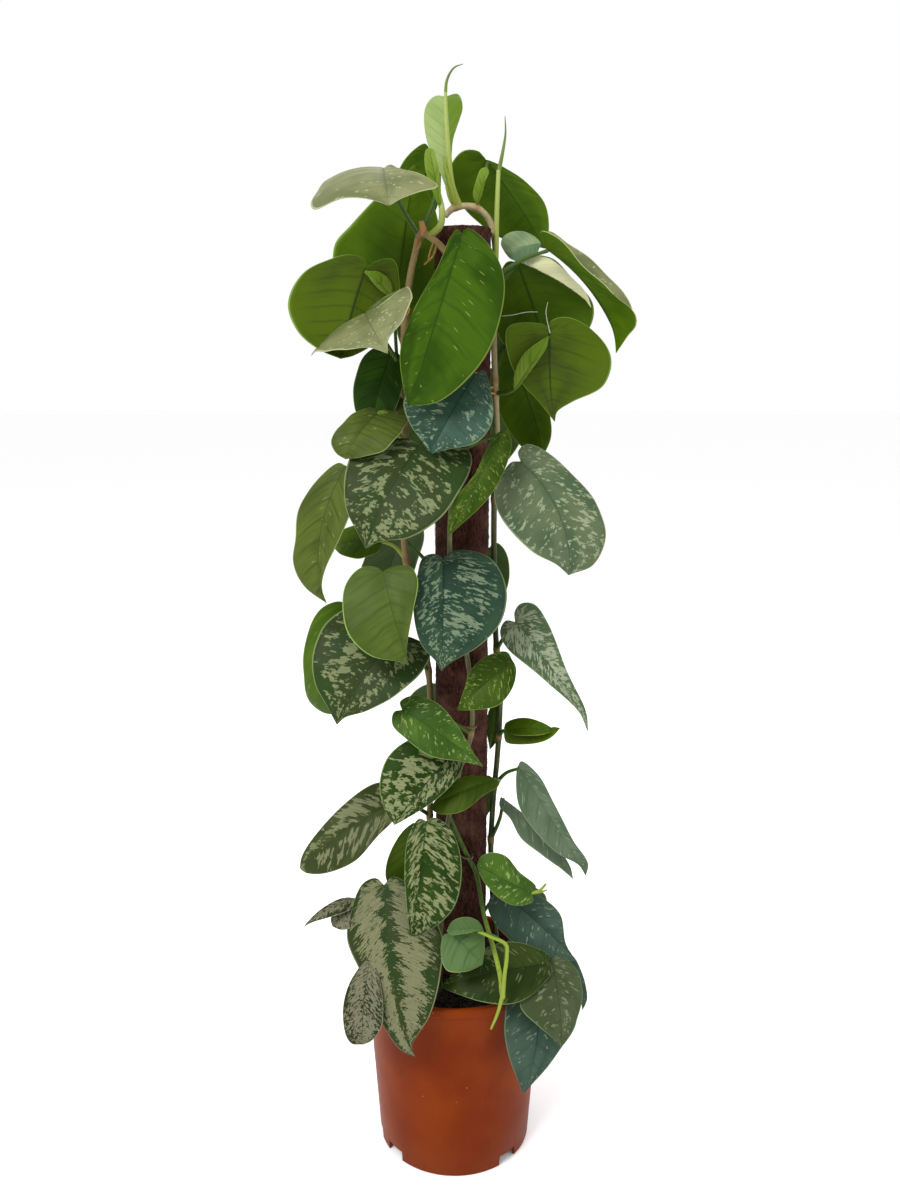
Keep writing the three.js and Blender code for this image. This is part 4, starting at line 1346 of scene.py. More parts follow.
LEFT_VINE = Vine("left_vine", "leaf", 3.0 * MM, [around(-106, 38, 190)] + seen_route((428, 880, -14),
    (430, 800, -14), (430, 690, -8), (421, 620, -6), (406, 560, -4), (403, 500, -4), (405, 430, -2),
    (404, 330, 4), (408, 290, 8), (414, 258, 14), (422, 234, 20), (434, 240, 27), (446, 252, 32),
    (457, 268, 33)), [
    leaf(Look.PALE, [(421, 236, 18), (403, 210, 6), (391, 184, -6)], (385, 169, 0), (388, 200, 85), 112,
        (-20, 62), fold=18, cup=0.35, sides=(
        ((378, 163), (365, 159), (346, 163), (326, 181), (311, 206), (316, 209), (342, 198), (362, 198)),
        ((400, 169), (418, 174), (438, 186), (418, 192), (402, 198)))),
    leaf(Look.FOREST, [(424, 236, 16), (436, 190, -14)], (430, 150, -34), (412, 238, -52), 44, (170, 15),
        Underside.LIT, sides=(
        ((425, 143.5), (405, 159), (396, 180), (399, 210)),
        ((436, 153), (441, 178), (437, 207), (426, 226)))),
    leaf(Look.GREEN, [(405, 430, -2), (398, 372, -16)], (394, 320, -30), (414, 166, -24), 108, (184, 4),
        Underside.LIT, sides=(
        ((378, 322), (350, 305), (334, 270), (335, 244), (350, 226), (374, 200)),
        ((408, 325), (432, 304), (441, 262), (436, 212)))),
    leaf(Look.GREEN, [(404, 315, 4), (394, 298, 14)], (366, 268, 26), (340, 359.5, 44), 104, (190, 10),
        Underside.VEINED, Stuff.PALE, sides=(
        ((366, 260), (350, 254.5), (330, 259), (302, 274), (288, 303), (298, 332), (320, 350)),
        ((376, 261), (394, 260), (399, 295), (380, 338), (355, 355)))),
    leaf(Look.SHEATH, [], (392, 298, 18), (366, 271, 29), 12, (10, 10), sides=(
        ((381, 291), (371, 280)),
        ((391, 283), (379, 272)))),
    leaf(Look.PALE, [(404, 392, 0), (397, 362, 10)], (365.5, 313, 20), (385, 349.5, 104), 108, (-58, 52),
        fold=14, cup=0.25, sides=(
        ((350, 311), (334, 315), (320, 328), (305, 350.5), (320, 351.5), (345, 350), (368, 347)),
        ((378, 308), (395, 295), (406, 287.5), (412, 297), (404, 319), (388, 340)))),
    leaf(Look.FOREST, [(404, 400, 0), (402, 375, 2)], (392, 352, 4), (372, 432, 12), 50, (-20, 20),
        sides=(
        ((384, 345), (366, 354), (354, 385), (356, 412)),
        ((399, 354), (403, 380), (394, 412)))),
    leaf(Look.OLIVE, [(405, 450, -2), (402, 438, 10)], (379, 412, 26), (345, 457.5, 52), 66, (-12, 28),
        stuff=Stuff.PALE, sides=(
        ((373, 408), (358, 411), (341, 425), (331, 441.5), (336, 453)),
        ((386, 401), (397, 395.5), (409, 404), (404, 428), (383, 451), (362, 457)))),
    leaf(Look.SHEATH, [], (402, 438, 14), (379, 411, 30), 6, (10, 10), sides=(
        ((391, 431), (381, 419)),
        ((397, 424), (386, 411)))),
    leaf(Look.SPLASHED, [(404, 500, -4), (410, 470, 18)], (419, 445, 38), (364.7, 547, 78), 112,
        (-12, 22), sides=(
        ((408, 438.8), (378, 441.7), (353, 453), (344.5, 479.5), (346, 509), (357.5, 532.5)),
        ((437, 446), (464, 446.5), (472, 458), (466, 480), (439, 519.5), (409, 537.5), (380, 541.5)))),
    leaf(Look.OLIVE, [(403, 505, -4), (380, 478, -2)], (346, 466, 8), (322.6, 603, 24), 56, (-30, 10),
        bow=-0.05, sides=(
        ((338, 463), (318, 479.5), (300, 506), (295.5, 537), (293.5, 562), (304, 586)),
        ((352, 468), (355, 495), (341, 536.5), (325.5, 568), (319.5, 593)))),
    leaf(Look.FRESH, [(405, 560, -4), (394, 546, -14)], (382, 541, -22), (333.5, 547.5, -40), 36,
        (-20, 40), stuff=Stuff.PALE, sides=(
        ((376, 530), (358, 525), (341, 532)),
        ((379, 551), (360, 558.5), (342, 555)))),
    leaf(Look.LIME, [(406, 575, -4), (396, 570, 24)], (383, 571.5, 60), (408.5, 665.3, 88), 78, (-6, 18),
        sides=(
        ((375, 567), (359.5, 568.5), (346, 584), (342.5, 610), (350, 637), (371, 656), (397.5, 661.5)),
        ((392, 567), (410, 566.5), (418, 580), (413, 612), (406.5, 655)))),
    leaf(Look.SPLASHED, [(428, 672, -7), (410, 650, 14)], (391, 640.5, 34), (336, 724, 66), 112,
        (-10, 22), sides=(
        ((385, 620), (358, 606), (330, 619), (314, 648), (314, 681), (327, 706)),
        ((405, 636), (430, 650), (424, 669), (397.5, 694), (367, 711), (345, 717.5)))),
    leaf(Look.FRESH, [(412, 598, -6), (380, 590, -18)], (346, 603, -22), (333, 715, -4), 56, (-40, 10),
        sides=(
        ((337, 601.5), (320, 610), (306.5, 637), (303.7, 673), (310, 702), (322, 712)),
        ((354, 608), (357, 640), (352, 680)))),
    leaf(Look.STREAKED, [(430, 815, -14), (414, 806, -4)], (396, 800, 6), (298, 867, 28), 54, (-20, 25),
        sides=(
        ((393, 784), (376, 783), (346, 802.5), (320, 829.5), (302, 856)),
        ((396, 816), (378, 836), (355, 861), (325, 873.5), (305, 872.5)))),
    leaf(Look.MOSSY, [(430, 850, -14), (418, 828, 0)], (414, 823, 12), (402, 900, 24), 38, (-20, 20),
        sides=(
        ((404, 830), (390, 853), (386, 878)),
        ((421, 832), (422, 860), (414, 890)))),
    leaf(Look.SHEATH, [], (441, 212, 22), (429, 147.5, 18), 12, (5, 5), sides=(
        ((434, 195), (426, 172), (424.5, 158), (426, 150)),
        ((441, 195), (439.5, 172), (436, 157), (433, 149)))),
], [
    shoot(3.4, 2.2, (430, 236, 24), (440, 226, 24), (442, 212, 22), (439, 195, 20), stuff=Stuff.PALE),
    shoot(0.9, 0.4, (412, 300, 14), (409, 312, 22), (404, 318, 24), stuff=Stuff.ROOT),
    shoot(1.3, 0.5, (422, 238, 20), (416, 244, 28), (414, 253, 30), stuff=Stuff.ROOT),
    shoot(1.2, 0.5, (424, 240, 20), (420, 246, 30), (417, 250, 32), stuff=Stuff.ROOT),
    shoot(1.2, 0.5, (436, 243, 27), (433, 256, 34), (424, 265, 32), stuff=Stuff.ROOT),
    shoot(1.1, 0.5, (434, 243, 27), (430, 252, 34), (428, 262, 34), stuff=Stuff.ROOT),
    shoot(3.4, 2.2, (424, 236, 20), (423, 228, 27), (421, 221, 29), stuff=Stuff.ROOT),
], stuff=Stuff.WOODY, ages=((0.2, 0.2), (0.45, 0.5), (0.6, 0.9), (0.95, 0.95)))

RIGHT_VINE = Vine("right_vine", "leaf", 2.8 * MM, seen_route((499, 960, 4), (494, 917, 4), (491, 860, 2),
    (491, 838, -1), (494, 790, -4), (497, 760, -6), (500, 700, -8), (496, 640, -10), (494, 560, -11),
    (494, 515, -11), (495, 470, -11), (497, 430, -11), (495, 380, -11), (494, 335, -11), (495, 280, -11),
    (495, 245, -11), (491, 224, -9), (484, 213, -6), (474, 207, -3), (462, 206, 0), (452, 209, 1),
    (445, 216, 2)), [
    # The young top blade: one half pale with a painted sheen, the other its own green.
    leaf(Look.HALF_PAINTED_SHEEN, [(456, 207, 0), (450, 198, -4)], (447, 190, -8), (446, 93.5, -40), 38, (0, 20),
        Underside.LIT, Stuff.PALE, arch=0.05, sides=(
        ((438, 168), (427.5, 143), (424, 118), (427, 104), (436, 96)),
        ((451, 165), (453, 140), (460, 118), (462.7, 107), (457.5, 94)))),
    leaf(Look.GREEN, [(478, 205, -4), (482, 184, -8)], (486, 160, -12), (545, 247, -42), 84, (168, 12),
        Underside.LIT, sides=(
        ((480, 151), (463, 151), (449, 172), (464, 208), (499, 237), (524, 244)),
        ((497, 164.5), (526, 182), (545, 204), (549, 228)))),
    leaf(Look.PALE, [(494, 278, -11), (505, 270, -10), (526, 258, -8)], (546, 249, -6), (621, 349, 18),
        76, (65, 36), Underside.LIT, fold=44, cup=0.05, arch=0.085, sides=(
        ((541, 231), (555, 236), (582, 264), (613, 294), (636.6, 322), (627, 337)),
        ((549, 231), (567, 242.6), (597, 265), (623, 293), (633, 312), (632, 326)))),
    leaf(Look.TEAL, [(494, 300, -11), (504, 280, -18)], (517, 262, -28), (548, 354, -46), 92, (172, 8),
        Underside.LIT, sides=(
        ((507, 262), (497, 285), (495, 320), (503, 344), (524, 353)),
        ((532, 256.5), (551.5, 258), (572, 278), (593, 304), (591, 325), (570, 349)))),
    leaf(Look.JADE, [], (541, 243, -24), (505, 252, -22), 30, (0, 10), sides=(
        ((533, 235.4), (518, 231), (504, 236), (501, 244)),
        ((537, 253), (524, 263), (511, 259)))),
    # A strip along the curled lobe's top, coloured with a painted highlight.
    leaf(Look.GLOW, [], (511, 259, -25), (593, 306, -32), 14, (10, 20), sides=(
        ((530, 256), (546, 256.5), (572, 278), (586, 293)),
        ((535, 263), (558, 272), (576, 284), (588, 300)))),
    leaf(Look.GREEN, [(496, 395, -11), (514, 389, 4)], (549, 333, 4), (554, 422.5, 22), 104, (186, 5),
        Underside.VEINED, sides=(
        ((546, 326), (528, 322.5), (508, 327), (506, 346), (517, 377), (540, 403)),
        ((550, 322), (566, 317), (590, 328), (611, 356), (604, 385), (572, 402), (557, 412)))),
    leaf(Look.SHEATH, [], (514, 391, 8), (549, 336, 9), 12, (5, 5), sides=(
        ((514, 376), (523, 355), (540, 341)),
        ((523, 381), (537, 362), (547, 346)))),
    leaf(Look.GREEN, [(495, 380, -11), (498, 362, -14)], (504, 345, -18), (544.5, 455.5, -26), 66,
        (156, 10), Underside.LIT, sides=(
        ((497, 352), (495, 380), (500, 415), (520, 445)),
        ((514, 345), (530, 372), (549, 411), (551, 437)))),
    leaf(Look.DUSTY, [(494, 500, -11), (505, 478, 6)], (520.6, 461.6, 26), (570, 574.7, 46), 96, (8, 18),
        bow=0.09, sides=(
        ((512, 462), (503, 473), (494, 495), (503, 521), (532, 551.5), (557, 565)),
        ((518, 452), (527, 444), (540, 448), (570, 472), (597, 505), (605.5, 538), (594, 564)))),
    leaf(Look.SILVERED, [(497, 650, -10), (505, 636, 2)], (515, 622, 12), (590.3, 731.6, 46), 56,
        (16, 20), sides=(
        ((506, 620.5), (500, 632), (507, 648), (545, 680.5), (582, 715)),
        ((514.5, 612), (521, 603.5), (534, 604), (548, 623), (566, 669), (586, 712)))),
    leaf(Look.MOSSY, [(499, 700, -8), (498, 698, -12)], (496, 703, -20), (490, 751, -26), 14, (10, 10),
        sides=(
        ((490, 708), (486.5, 728)),
        ((501, 712), (499, 735)))),
    leaf(Look.FRESH, [(499, 735, -7), (503, 731, 2)], (504, 731, 10), (556, 730, 28), 22, (10, 45),
        sides=(
        ((506, 723), (525, 717.8), (541, 722)),
        ((515, 735), (540, 735)))),
    leaf(Look.FRESH, [], (504, 732, 12), (561, 729, 32), 24, (186, -38), Underside.VEINED, sides=(
        ((515, 729), (545, 732), (553, 727)),
        ((506, 742), (520, 744.5), (547, 740)))),
    leaf(Look.GREY_TEAL, [(497, 785, -4), (506, 773, 4)], (518, 766, 14), (588, 876, 42), 40, (18, 18),
        bow=-0.03, sides=(
        ((516, 782), (519, 806), (534, 830), (558, 853.5), (579, 865.5)),
        ((521, 761), (538, 774.5), (554, 803), (573, 840), (588, 864)))),
    leaf(Look.GREY_TEAL, [(491, 838, 0), (500, 818, 3)], (501, 797, 4), (576, 877.5, 26), 28, (40, 35),
        Underside.LIT, sides=(
        ((499.5, 806), (510, 818.5), (521, 838), (542.5, 855.5), (566, 873)),
        ((506, 802), (525, 822), (550, 846), (570, 866)))),
    leaf(Look.MOSSY, [(496, 784, -4), (499, 781, 20)], (497, 779, 38), (429, 807, 52), 34, (0, 40),
        sides=(
        ((484, 776.5), (462, 777), (447, 789)),
        ((499, 785), (484, 795), (462, 811.5), (440, 814)))),
    leaf(Look.FLECKED, [(491, 866, 2), (498, 866, 26), (518, 884, 46)], (531, 893, 52), (477.5, 866, 56),
        44, (0, 25), sides=(
        ((536, 887), (519, 871.5), (505, 855.5), (490, 852.5), (480, 858)),
        ((533, 901), (515, 905.5), (497, 896.5), (482, 879)))),
    leaf(Look.SHEATH, [], (477, 205, 0), (487, 167, 4), 9, (5, 5), sides=(
        ((473, 195), (477, 178), (481, 169)),
        ((481, 197), (485, 182), (489, 172)))),
], [
    shoot(3.4, 1.5, (459, 206, 0), (452, 185, 5), (448.5, 150, 7), (446, 110, 7), (445.5, 92, 7),
        stuff=Stuff.PALE, taper=0.9),
    shoot(1.5, 0.3, (445.5, 94, 7), (446.5, 82, 7), (450, 73, 7), (455, 67, 7), (463, 64, 7),
        stuff=Stuff.TWIG, joined=False),
    shoot(3.0, 1.8, (495, 272, -11), (496, 245, -2), (497, 207, 2), (498.5, 170, 3), stuff=Stuff.PALE,
        taper=0.9),
    shoot(2.0, 0.3, (499, 170, 3), (502.5, 153, 3), (505.5, 133, 3), (505, 116, 4), stuff=Stuff.TWIG,
        joined=False, taper=1.2),
    shoot(2.6, 1.0, (455, 207, 4), (451, 190, 8), (446, 170, 9), (443, 156, 9)),
    shoot(0.45, 0.2, (495, 318, -8), (512, 315, 6), (528, 312, 8), (538, 312, 8), stuff=Stuff.HAIR),
    shoot(0.45, 0.2, (550, 333, 6), (547, 320, 10), (546, 311, 12), (548, 302, 12), stuff=Stuff.HAIR,
        joined=False),
    shoot(1.1, 0.5, (496, 388, -8), (486, 388, 6), (479, 386, 10), stuff=Stuff.ROOT),
    shoot(1.1, 0.5, (496, 392, -8), (487, 393, 6), (482, 395, 10), stuff=Stuff.ROOT),
    shoot(2.4, 1.8, (492, 876, 3), (496, 896, 8), (501, 917, 10), stuff=Stuff.GREEN),
    shoot(1.8, 1.0, (531, 893, 50), (539, 891, 52), (546, 884, 54), joined=False),
    shoot(1.4, 0.7, (534, 893, 50), (541, 892, 52), (547, 890, 54), joined=False),
], stuff=Stuff.DARK, ages=((0.2, 0.0), (0.62, 0.05), (0.74, 0.75), (0.85, 0.9), (0.95, 1.0)))

YOUNG_STEM = Vine("young_stem", "leaf", 2.2 * MM, seen_route((449, 816, 34), (459, 838, 32),
    (468, 857, 31), (476, 873, 34), (484, 915, 56), (494, 950, 88), (500, 975, 105), (503, 998, 113)), [
    leaf(Look.MINT, [(502, 990, 110), (505, 960, 109), (504, 944, 107), (490, 934, 103)], (452, 933, 88),
        (482.7, 964.5, 104), 52, (8, 26), stuff=Stuff.GREEN, sides=(
        ((444, 935), (441, 955), (447, 970.5), (466, 971.5)),
        ((450, 926), (459, 919), (472, 918), (482, 927), (484.5, 945)))),
    leaf(Look.MINT, [], (483, 929, 104), (446, 931, 98), 16, (0, 40), arch=0.05, sides=(
        ((478, 921), (466, 917), (453, 921)),
        ((474, 932), (462, 934), (452, 935)))),
], [
    shoot(1.8, 1.0, (503, 996, 113), (498, 1012, 115), (491, 1029, 117)),
    shoot(2.0, 1.4, (503, 998, 113), (504.5, 976, 113), (507, 955, 110), (506, 944.5, 108),
        (491, 937, 105), (478, 931.5, 102)),
], stuff=Stuff.TURNING, ages=((0.2, 0.0), (0.25, 0.1), (0.275, 0.85), (0.45, 1.0)),
    stalk_radii=(1.2 * MM, 0.9 * MM))

FRONT_VINE = Vine("front_vine", "leaf", 2.4 * MM, seen_route((440, 946, 46), (442, 900, 44),
    (443, 860, 38), (449, 816, 34), (458, 775, 32), (471, 735, 30.5), (472, 700, 31), (466, 650, 31.5),
    (455, 600, 31.5), (450, 560, 31.5), (452, 500, 31.5), (462, 450, 31.5), (470, 410, 31.5),
    (474, 372, 31.5)), [
    leaf(Look.GREEN, [(474, 380, 31.5), (470, 320, 34), (466, 265, 38)], (462, 234, 44), (409, 404, 82),
        92, (8, 12), sides=(
        ((458, 229), (451, 236), (438, 266), (412, 314), (400, 352), (403, 386)),
        ((467, 228), (485, 240.5), (503, 272), (501, 316), (482, 362), (440, 401)))),
    leaf(Look.BLUISH, [(472, 395, 31.5), (478, 382, 38)], (476, 374, 42), (431, 452.5, 66), 84, (0, 26),
        sides=(
        ((466, 366), (436, 370), (404, 400), (410, 424), (422, 441)),
        ((483, 370), (491, 392), (492, 422), (477, 442.5), (447, 449.5)))),
    leaf(Look.SPOTTED, [(462, 450, 31.5), (482, 440, 42)], (502, 432, 46), (449, 535.5, 78), 40, (10, 20),
        sides=(
        ((499, 432), (488, 446), (475, 474), (454, 501), (448.5, 521)),
        ((506, 429.5), (511.5, 441), (505, 469), (488, 498.5), (463, 523)))),
    leaf(Look.TEAL, [(450, 575, 31.5), (447, 563, 40)], (443, 559, 48), (441.3, 671, 76), 94, (4, 20),
        sides=(
        ((436, 554), (423, 557.5), (416.5, 580), (413.5, 612), (421, 644), (437, 663)),
        ((452, 551.5), (470, 550.5), (493, 560.5), (506.5, 590), (501, 622), (479, 646), (450, 663)))),
    leaf(Look.SPOTTED, [(470, 680, 31), (492, 668, 36)], (512, 660, 40), (457, 710, 60), 48, (5, 30),
        sides=(
        ((507, 652), (489, 655), (471, 670), (464, 690)),
        ((516, 668), (512, 689), (497, 706), (473, 710)))),
    leaf(Look.FLECKED, [(471, 735, 31), (440, 716, 40)], (402, 710, 48), (484, 766, 62), 54, (0, 32),
        sides=(
        ((394, 712), (392.5, 725), (405, 738), (430, 756), (462, 761.5)),
        ((400, 702), (411, 696), (437, 703), (456, 724), (475, 755)))),
    leaf(Look.BOLD, [(458, 775, 32), (458, 758, 40)], (452, 754, 44), (394, 825, 66), 74, (-5, 26),
        sides=(
        ((440, 742), (412, 739), (388, 757), (379.5, 784), (386, 812)),
        ((462, 757), (460, 773), (438, 798), (405, 819.5)))),
    leaf(Look.BOLD, [(443, 860, 38), (436, 832, 54)], (426, 821, 66), (411.3, 938.5, 90), 60, (5, 15),
        sides=(
        ((419, 818.5), (408, 838), (404.5, 872), (406.5, 905), (409.5, 930)),
        ((434, 817.5), (451, 829.5), (461.5, 865), (454, 907), (425, 932.5)))),
], branches=[YOUNG_STEM], stuff=Stuff.DARK, ages=((0.2, 0.1), (0.6, 0.2), (0.85, 0.5)))

LEFT_LOW_SPRAY = Vine("left_low_spray", "leaf_silver", 3 * MM, [around(-70, 62, 190),
    around(-72, 62, 215), around(-72, 60, 240)], [
    leaf(Look.SILVER, [(400, 950, 22), (388, 915, 40)], (384, 885, 54), (413, 1059, 118), 104, (-12, 12),
        fold=-10, sides=(
        ((376, 878), (362, 884.5), (350, 916), (347, 938), (362, 975), (383, 1024), (402, 1051)),
        ((392, 877), (404, 881), (424, 905), (442.5, 937), (441, 972), (430, 1015), (412, 1046)))),
    leaf(Look.PEPPER, [(400, 930, 20), (372, 905, 34)], (356, 899, 40), (303, 925.5, 60), 20, (-20, 60),
        sides=(
        ((346, 897.5), (328, 904.5), (311, 918)),
        ((356, 906), (340, 914), (318, 920.5)))),
    leaf(Look.PEPPER, [], (357, 903, 42), (332, 926, 54), 26, (-15, 50), sides=(
        ((345, 906), (331, 918)),
        ((358, 913), (354, 926), (342, 930)))),
    leaf(Look.PEPPER, [(400, 960, 20), (380, 950, 52)], (370, 958, 84), (362, 1045.5, 112), 44, (-12, 15),
        sides=(
        ((362, 964), (347, 989), (343, 1020), (351, 1043)),
        ((378, 973), (383, 1005), (381, 1028), (371, 1041)))),
])

RIGHT_LOW_SPRAY = Vine("right_low_spray", "leaf_dark", 3 * MM, [around(62, 60, 190), around(62, 60, 215),
    around(60, 56, 250)], [
    leaf(Look.DEEP, [(515, 940, 28), (530, 950, 56)], (546, 964, 70), (440, 986, 84), 58, (5, 42), sides=(
        ((550, 957), (534, 947), (505, 942), (472, 956), (450, 977)),
        ((552, 969), (540.5, 987), (516.5, 1003), (484, 1002.5), (455, 993)))),
    leaf(Look.DUSK, [(515, 930, 28), (508, 905, 24)], (503, 892, 20), (577, 961, 46), 64, (12, 24),
        sides=(
        ((492, 895), (488, 909), (500, 930), (528, 952), (558, 961)),
        ((516, 886), (540, 896), (560, 914), (566, 944)))),
    leaf(Look.MOSS, [(515, 950, 28), (535, 953, 42)], (551, 959, 56), (562.5, 1046.5, 112), 62, (12, 25),
        sides=(
        ((543, 960), (526, 988), (520, 1006), (538, 1026), (556, 1041)),
        ((558, 955.5), (574, 966), (582.5, 990), (577, 1019.5), (568, 1038)))),
    leaf(Look.DUSK, [(515, 950, 28), (540, 952, 30)], (562, 958, 30), (584, 1010, 50), 34, (35, 30),
        sides=(
        ((567, 970), (576, 990)),
        ((572, 955.5), (583.5, 978), (587, 998)))),
    leaf(Look.DUSK, [(515, 955, 28), (526, 965, 52)], (540, 986, 62), (524.6, 1096, 102), 72, (20, 22),
        sides=(
        ((528, 978), (509, 996), (504.5, 1025), (508, 1054), (518.5, 1082)),
        ((553, 978), (574, 992), (577, 1019.5), (560, 1050), (534, 1082)))),
])

FAR = FarLeaf()
BACK_LEFT_VINE = Vine("back_left_vine", "leaf", 3 * MM, far_route(205, 1.3, 0), [
    FAR.hang(Look.SPLASHED, 190, 886, 90, 92, 76, 12),
    FAR.hang(Look.TEAL, 200, 762, 90, 105, 82, 4),
    FAR.hang(Look.SPLASHED, 230, 636, 78, 100, 78, -6),
    FAR.hang(Look.FLECKED, 185, 606, 62, 92, 66),
    FAR.hang(Look.BOLD, 195, 468, 78, 92, 70, 5),
    FAR.hang(Look.SILVERED, 225, 262, 84, 66, 70, 6),
], stuff=Stuff.DARK)

BACK_RIGHT_VINE = Vine("back_right_vine", "leaf", 3 * MM, far_route(152, 1.1, 1), [
    FAR.hang(Look.TEAL, 150, 872, 88, 92, 74),
    FAR.hang(Look.SPLASHED, 165, 792, 88, 100, 80, -4),
    leaf(Look.FOREST, [(484, 580, -34), (486, 560, -36)], (489, 548, -38), (482, 626, -62), 44,
        (160, 20)),
    FAR.hang(Look.FLECKED, 150, 380, 20, 66, 34, 15),
    FAR.hang(Look.DUSK, 140, 258, 84, 60, 72, -5),
], stuff=Stuff.DARK)

VINES = (LEFT_VINE, RIGHT_VINE, FRONT_VINE, LEFT_LOW_SPRAY, RIGHT_LOW_SPRAY, BACK_LEFT_VINE,
         BACK_RIGHT_VINE)


# Pot, soil and pole

@dataclass
class NurseryPot:
    """The tapered pot with its lip, foot notches and drain holes."""

    rim_radius: float = 95 * MM
    foot_radius: float = 79 * MM
    height: float = 197 * MM
    wall: float = 2.4 * MM
    lip_height: float = 11 * MM
    lip_proud: float = 3.2 * MM
    lip_shoulder: float = 2.5 * MM
    lip_round: float = 1.5 * MM
    floor_rise: float = 12 * MM
    pad_radius: float = 42 * MM
    pad_slope: float = 4 * MM
    steps: int = 144
    notch_size: Scale = (22 * MM, 14 * MM, 21 * MM)
    notch_angles: Sequence[float] = (-81, -51, 43.5, 99, 129, 223.5)
    drain_radius: float = 5 * MM
    drain_depth: float = 12 * MM
    drain_ring: float = 61 * MM
    drain_count: int = 6
    drain_sides: int = 20
    edge_round: float = 0.45 * MM
    edge_angle: float = 32.0
    smooth_angle: float = 40.0

    def inside(self, height: float) -> float:
        """The inner radius at a height."""
        neck = self.rim_radius - self.lip_proud
        share = height / (self.height - self.lip_height)
        return self.foot_radius + (neck - self.foot_radius) * share - self.wall

    def profile(self) -> list[Span]:
        """The closed half section, from the pad under the base to the one inside it."""
        under_lip = self.height - self.lip_height
        neck = self.rim_radius - self.lip_proud
        ledge = self.floor_rise + self.wall
        well, soft = self.pad_radius, self.lip_round
        outer = [(neck + (self.foot_radius - neck) * (1 - share), under_lip * share)
                 for share in (0.25, 0.5, 0.75)]
        return [
            (well, 0), (well + self.pad_slope, self.floor_rise),
            (self.inside(self.floor_rise), self.floor_rise), (self.inside(0), 0),
            (self.foot_radius, 0), *outer, (neck, under_lip),
            (self.rim_radius, under_lip + self.lip_shoulder),
            (self.rim_radius, self.height - soft), (self.rim_radius - soft, self.height),
            (self.inside(under_lip) + soft, self.height),
            (self.inside(under_lip), self.height - soft), (self.inside(under_lip), under_lip),
            (self.inside(under_lip / 2), under_lip / 2), (self.inside(ledge), ledge),
            (well + self.pad_slope - self.wall, ledge), (well - self.wall, self.wall),
        ]

    def cut(self, body: Piece, cutter: Piece) -> None:
        """Cuts one shape out of the pot and removes it."""
        add_modifier(body, "BOOLEAN", operation="DIFFERENCE", object=cutter, solver="EXACT")
        bpy.data.objects.remove(cutter)

    def build(self) -> None:
        """Builds and settles the pot."""
        body = turned("pot_shell", self.profile(), self.steps)
        for angle in self.notch_angles:
            turn = math.radians(angle)
            reach = self.foot_radius - self.wall
            self.cut(body, started(
                "notch", bpy.ops.mesh.primitive_cube_add, size=1, scale=self.notch_size,
                location=(reach * math.sin(turn), -reach * math.cos(turn), 0),
                rotation=(0, 0, turn)))
        for step in range(self.drain_count):
            turn = 2 * math.pi * step / self.drain_count
            self.cut(body, started(
                "drain", bpy.ops.mesh.primitive_cylinder_add, vertices=self.drain_sides,
                radius=self.drain_radius, depth=self.drain_depth,
                location=(self.drain_ring * math.cos(turn), self.drain_ring * math.sin(turn),
                          self.floor_rise)))
        add_modifier(body, "BEVEL", width=self.edge_round, segments=2, limit_method="ANGLE",
                     angle_limit=math.radians(self.edge_angle))
        paint(body, PlasticFinish())
        select_only(body)
        bpy.ops.object.shade_smooth_by_angle(angle=math.radians(self.smooth_angle))
        settle(body, "pot", "pot")


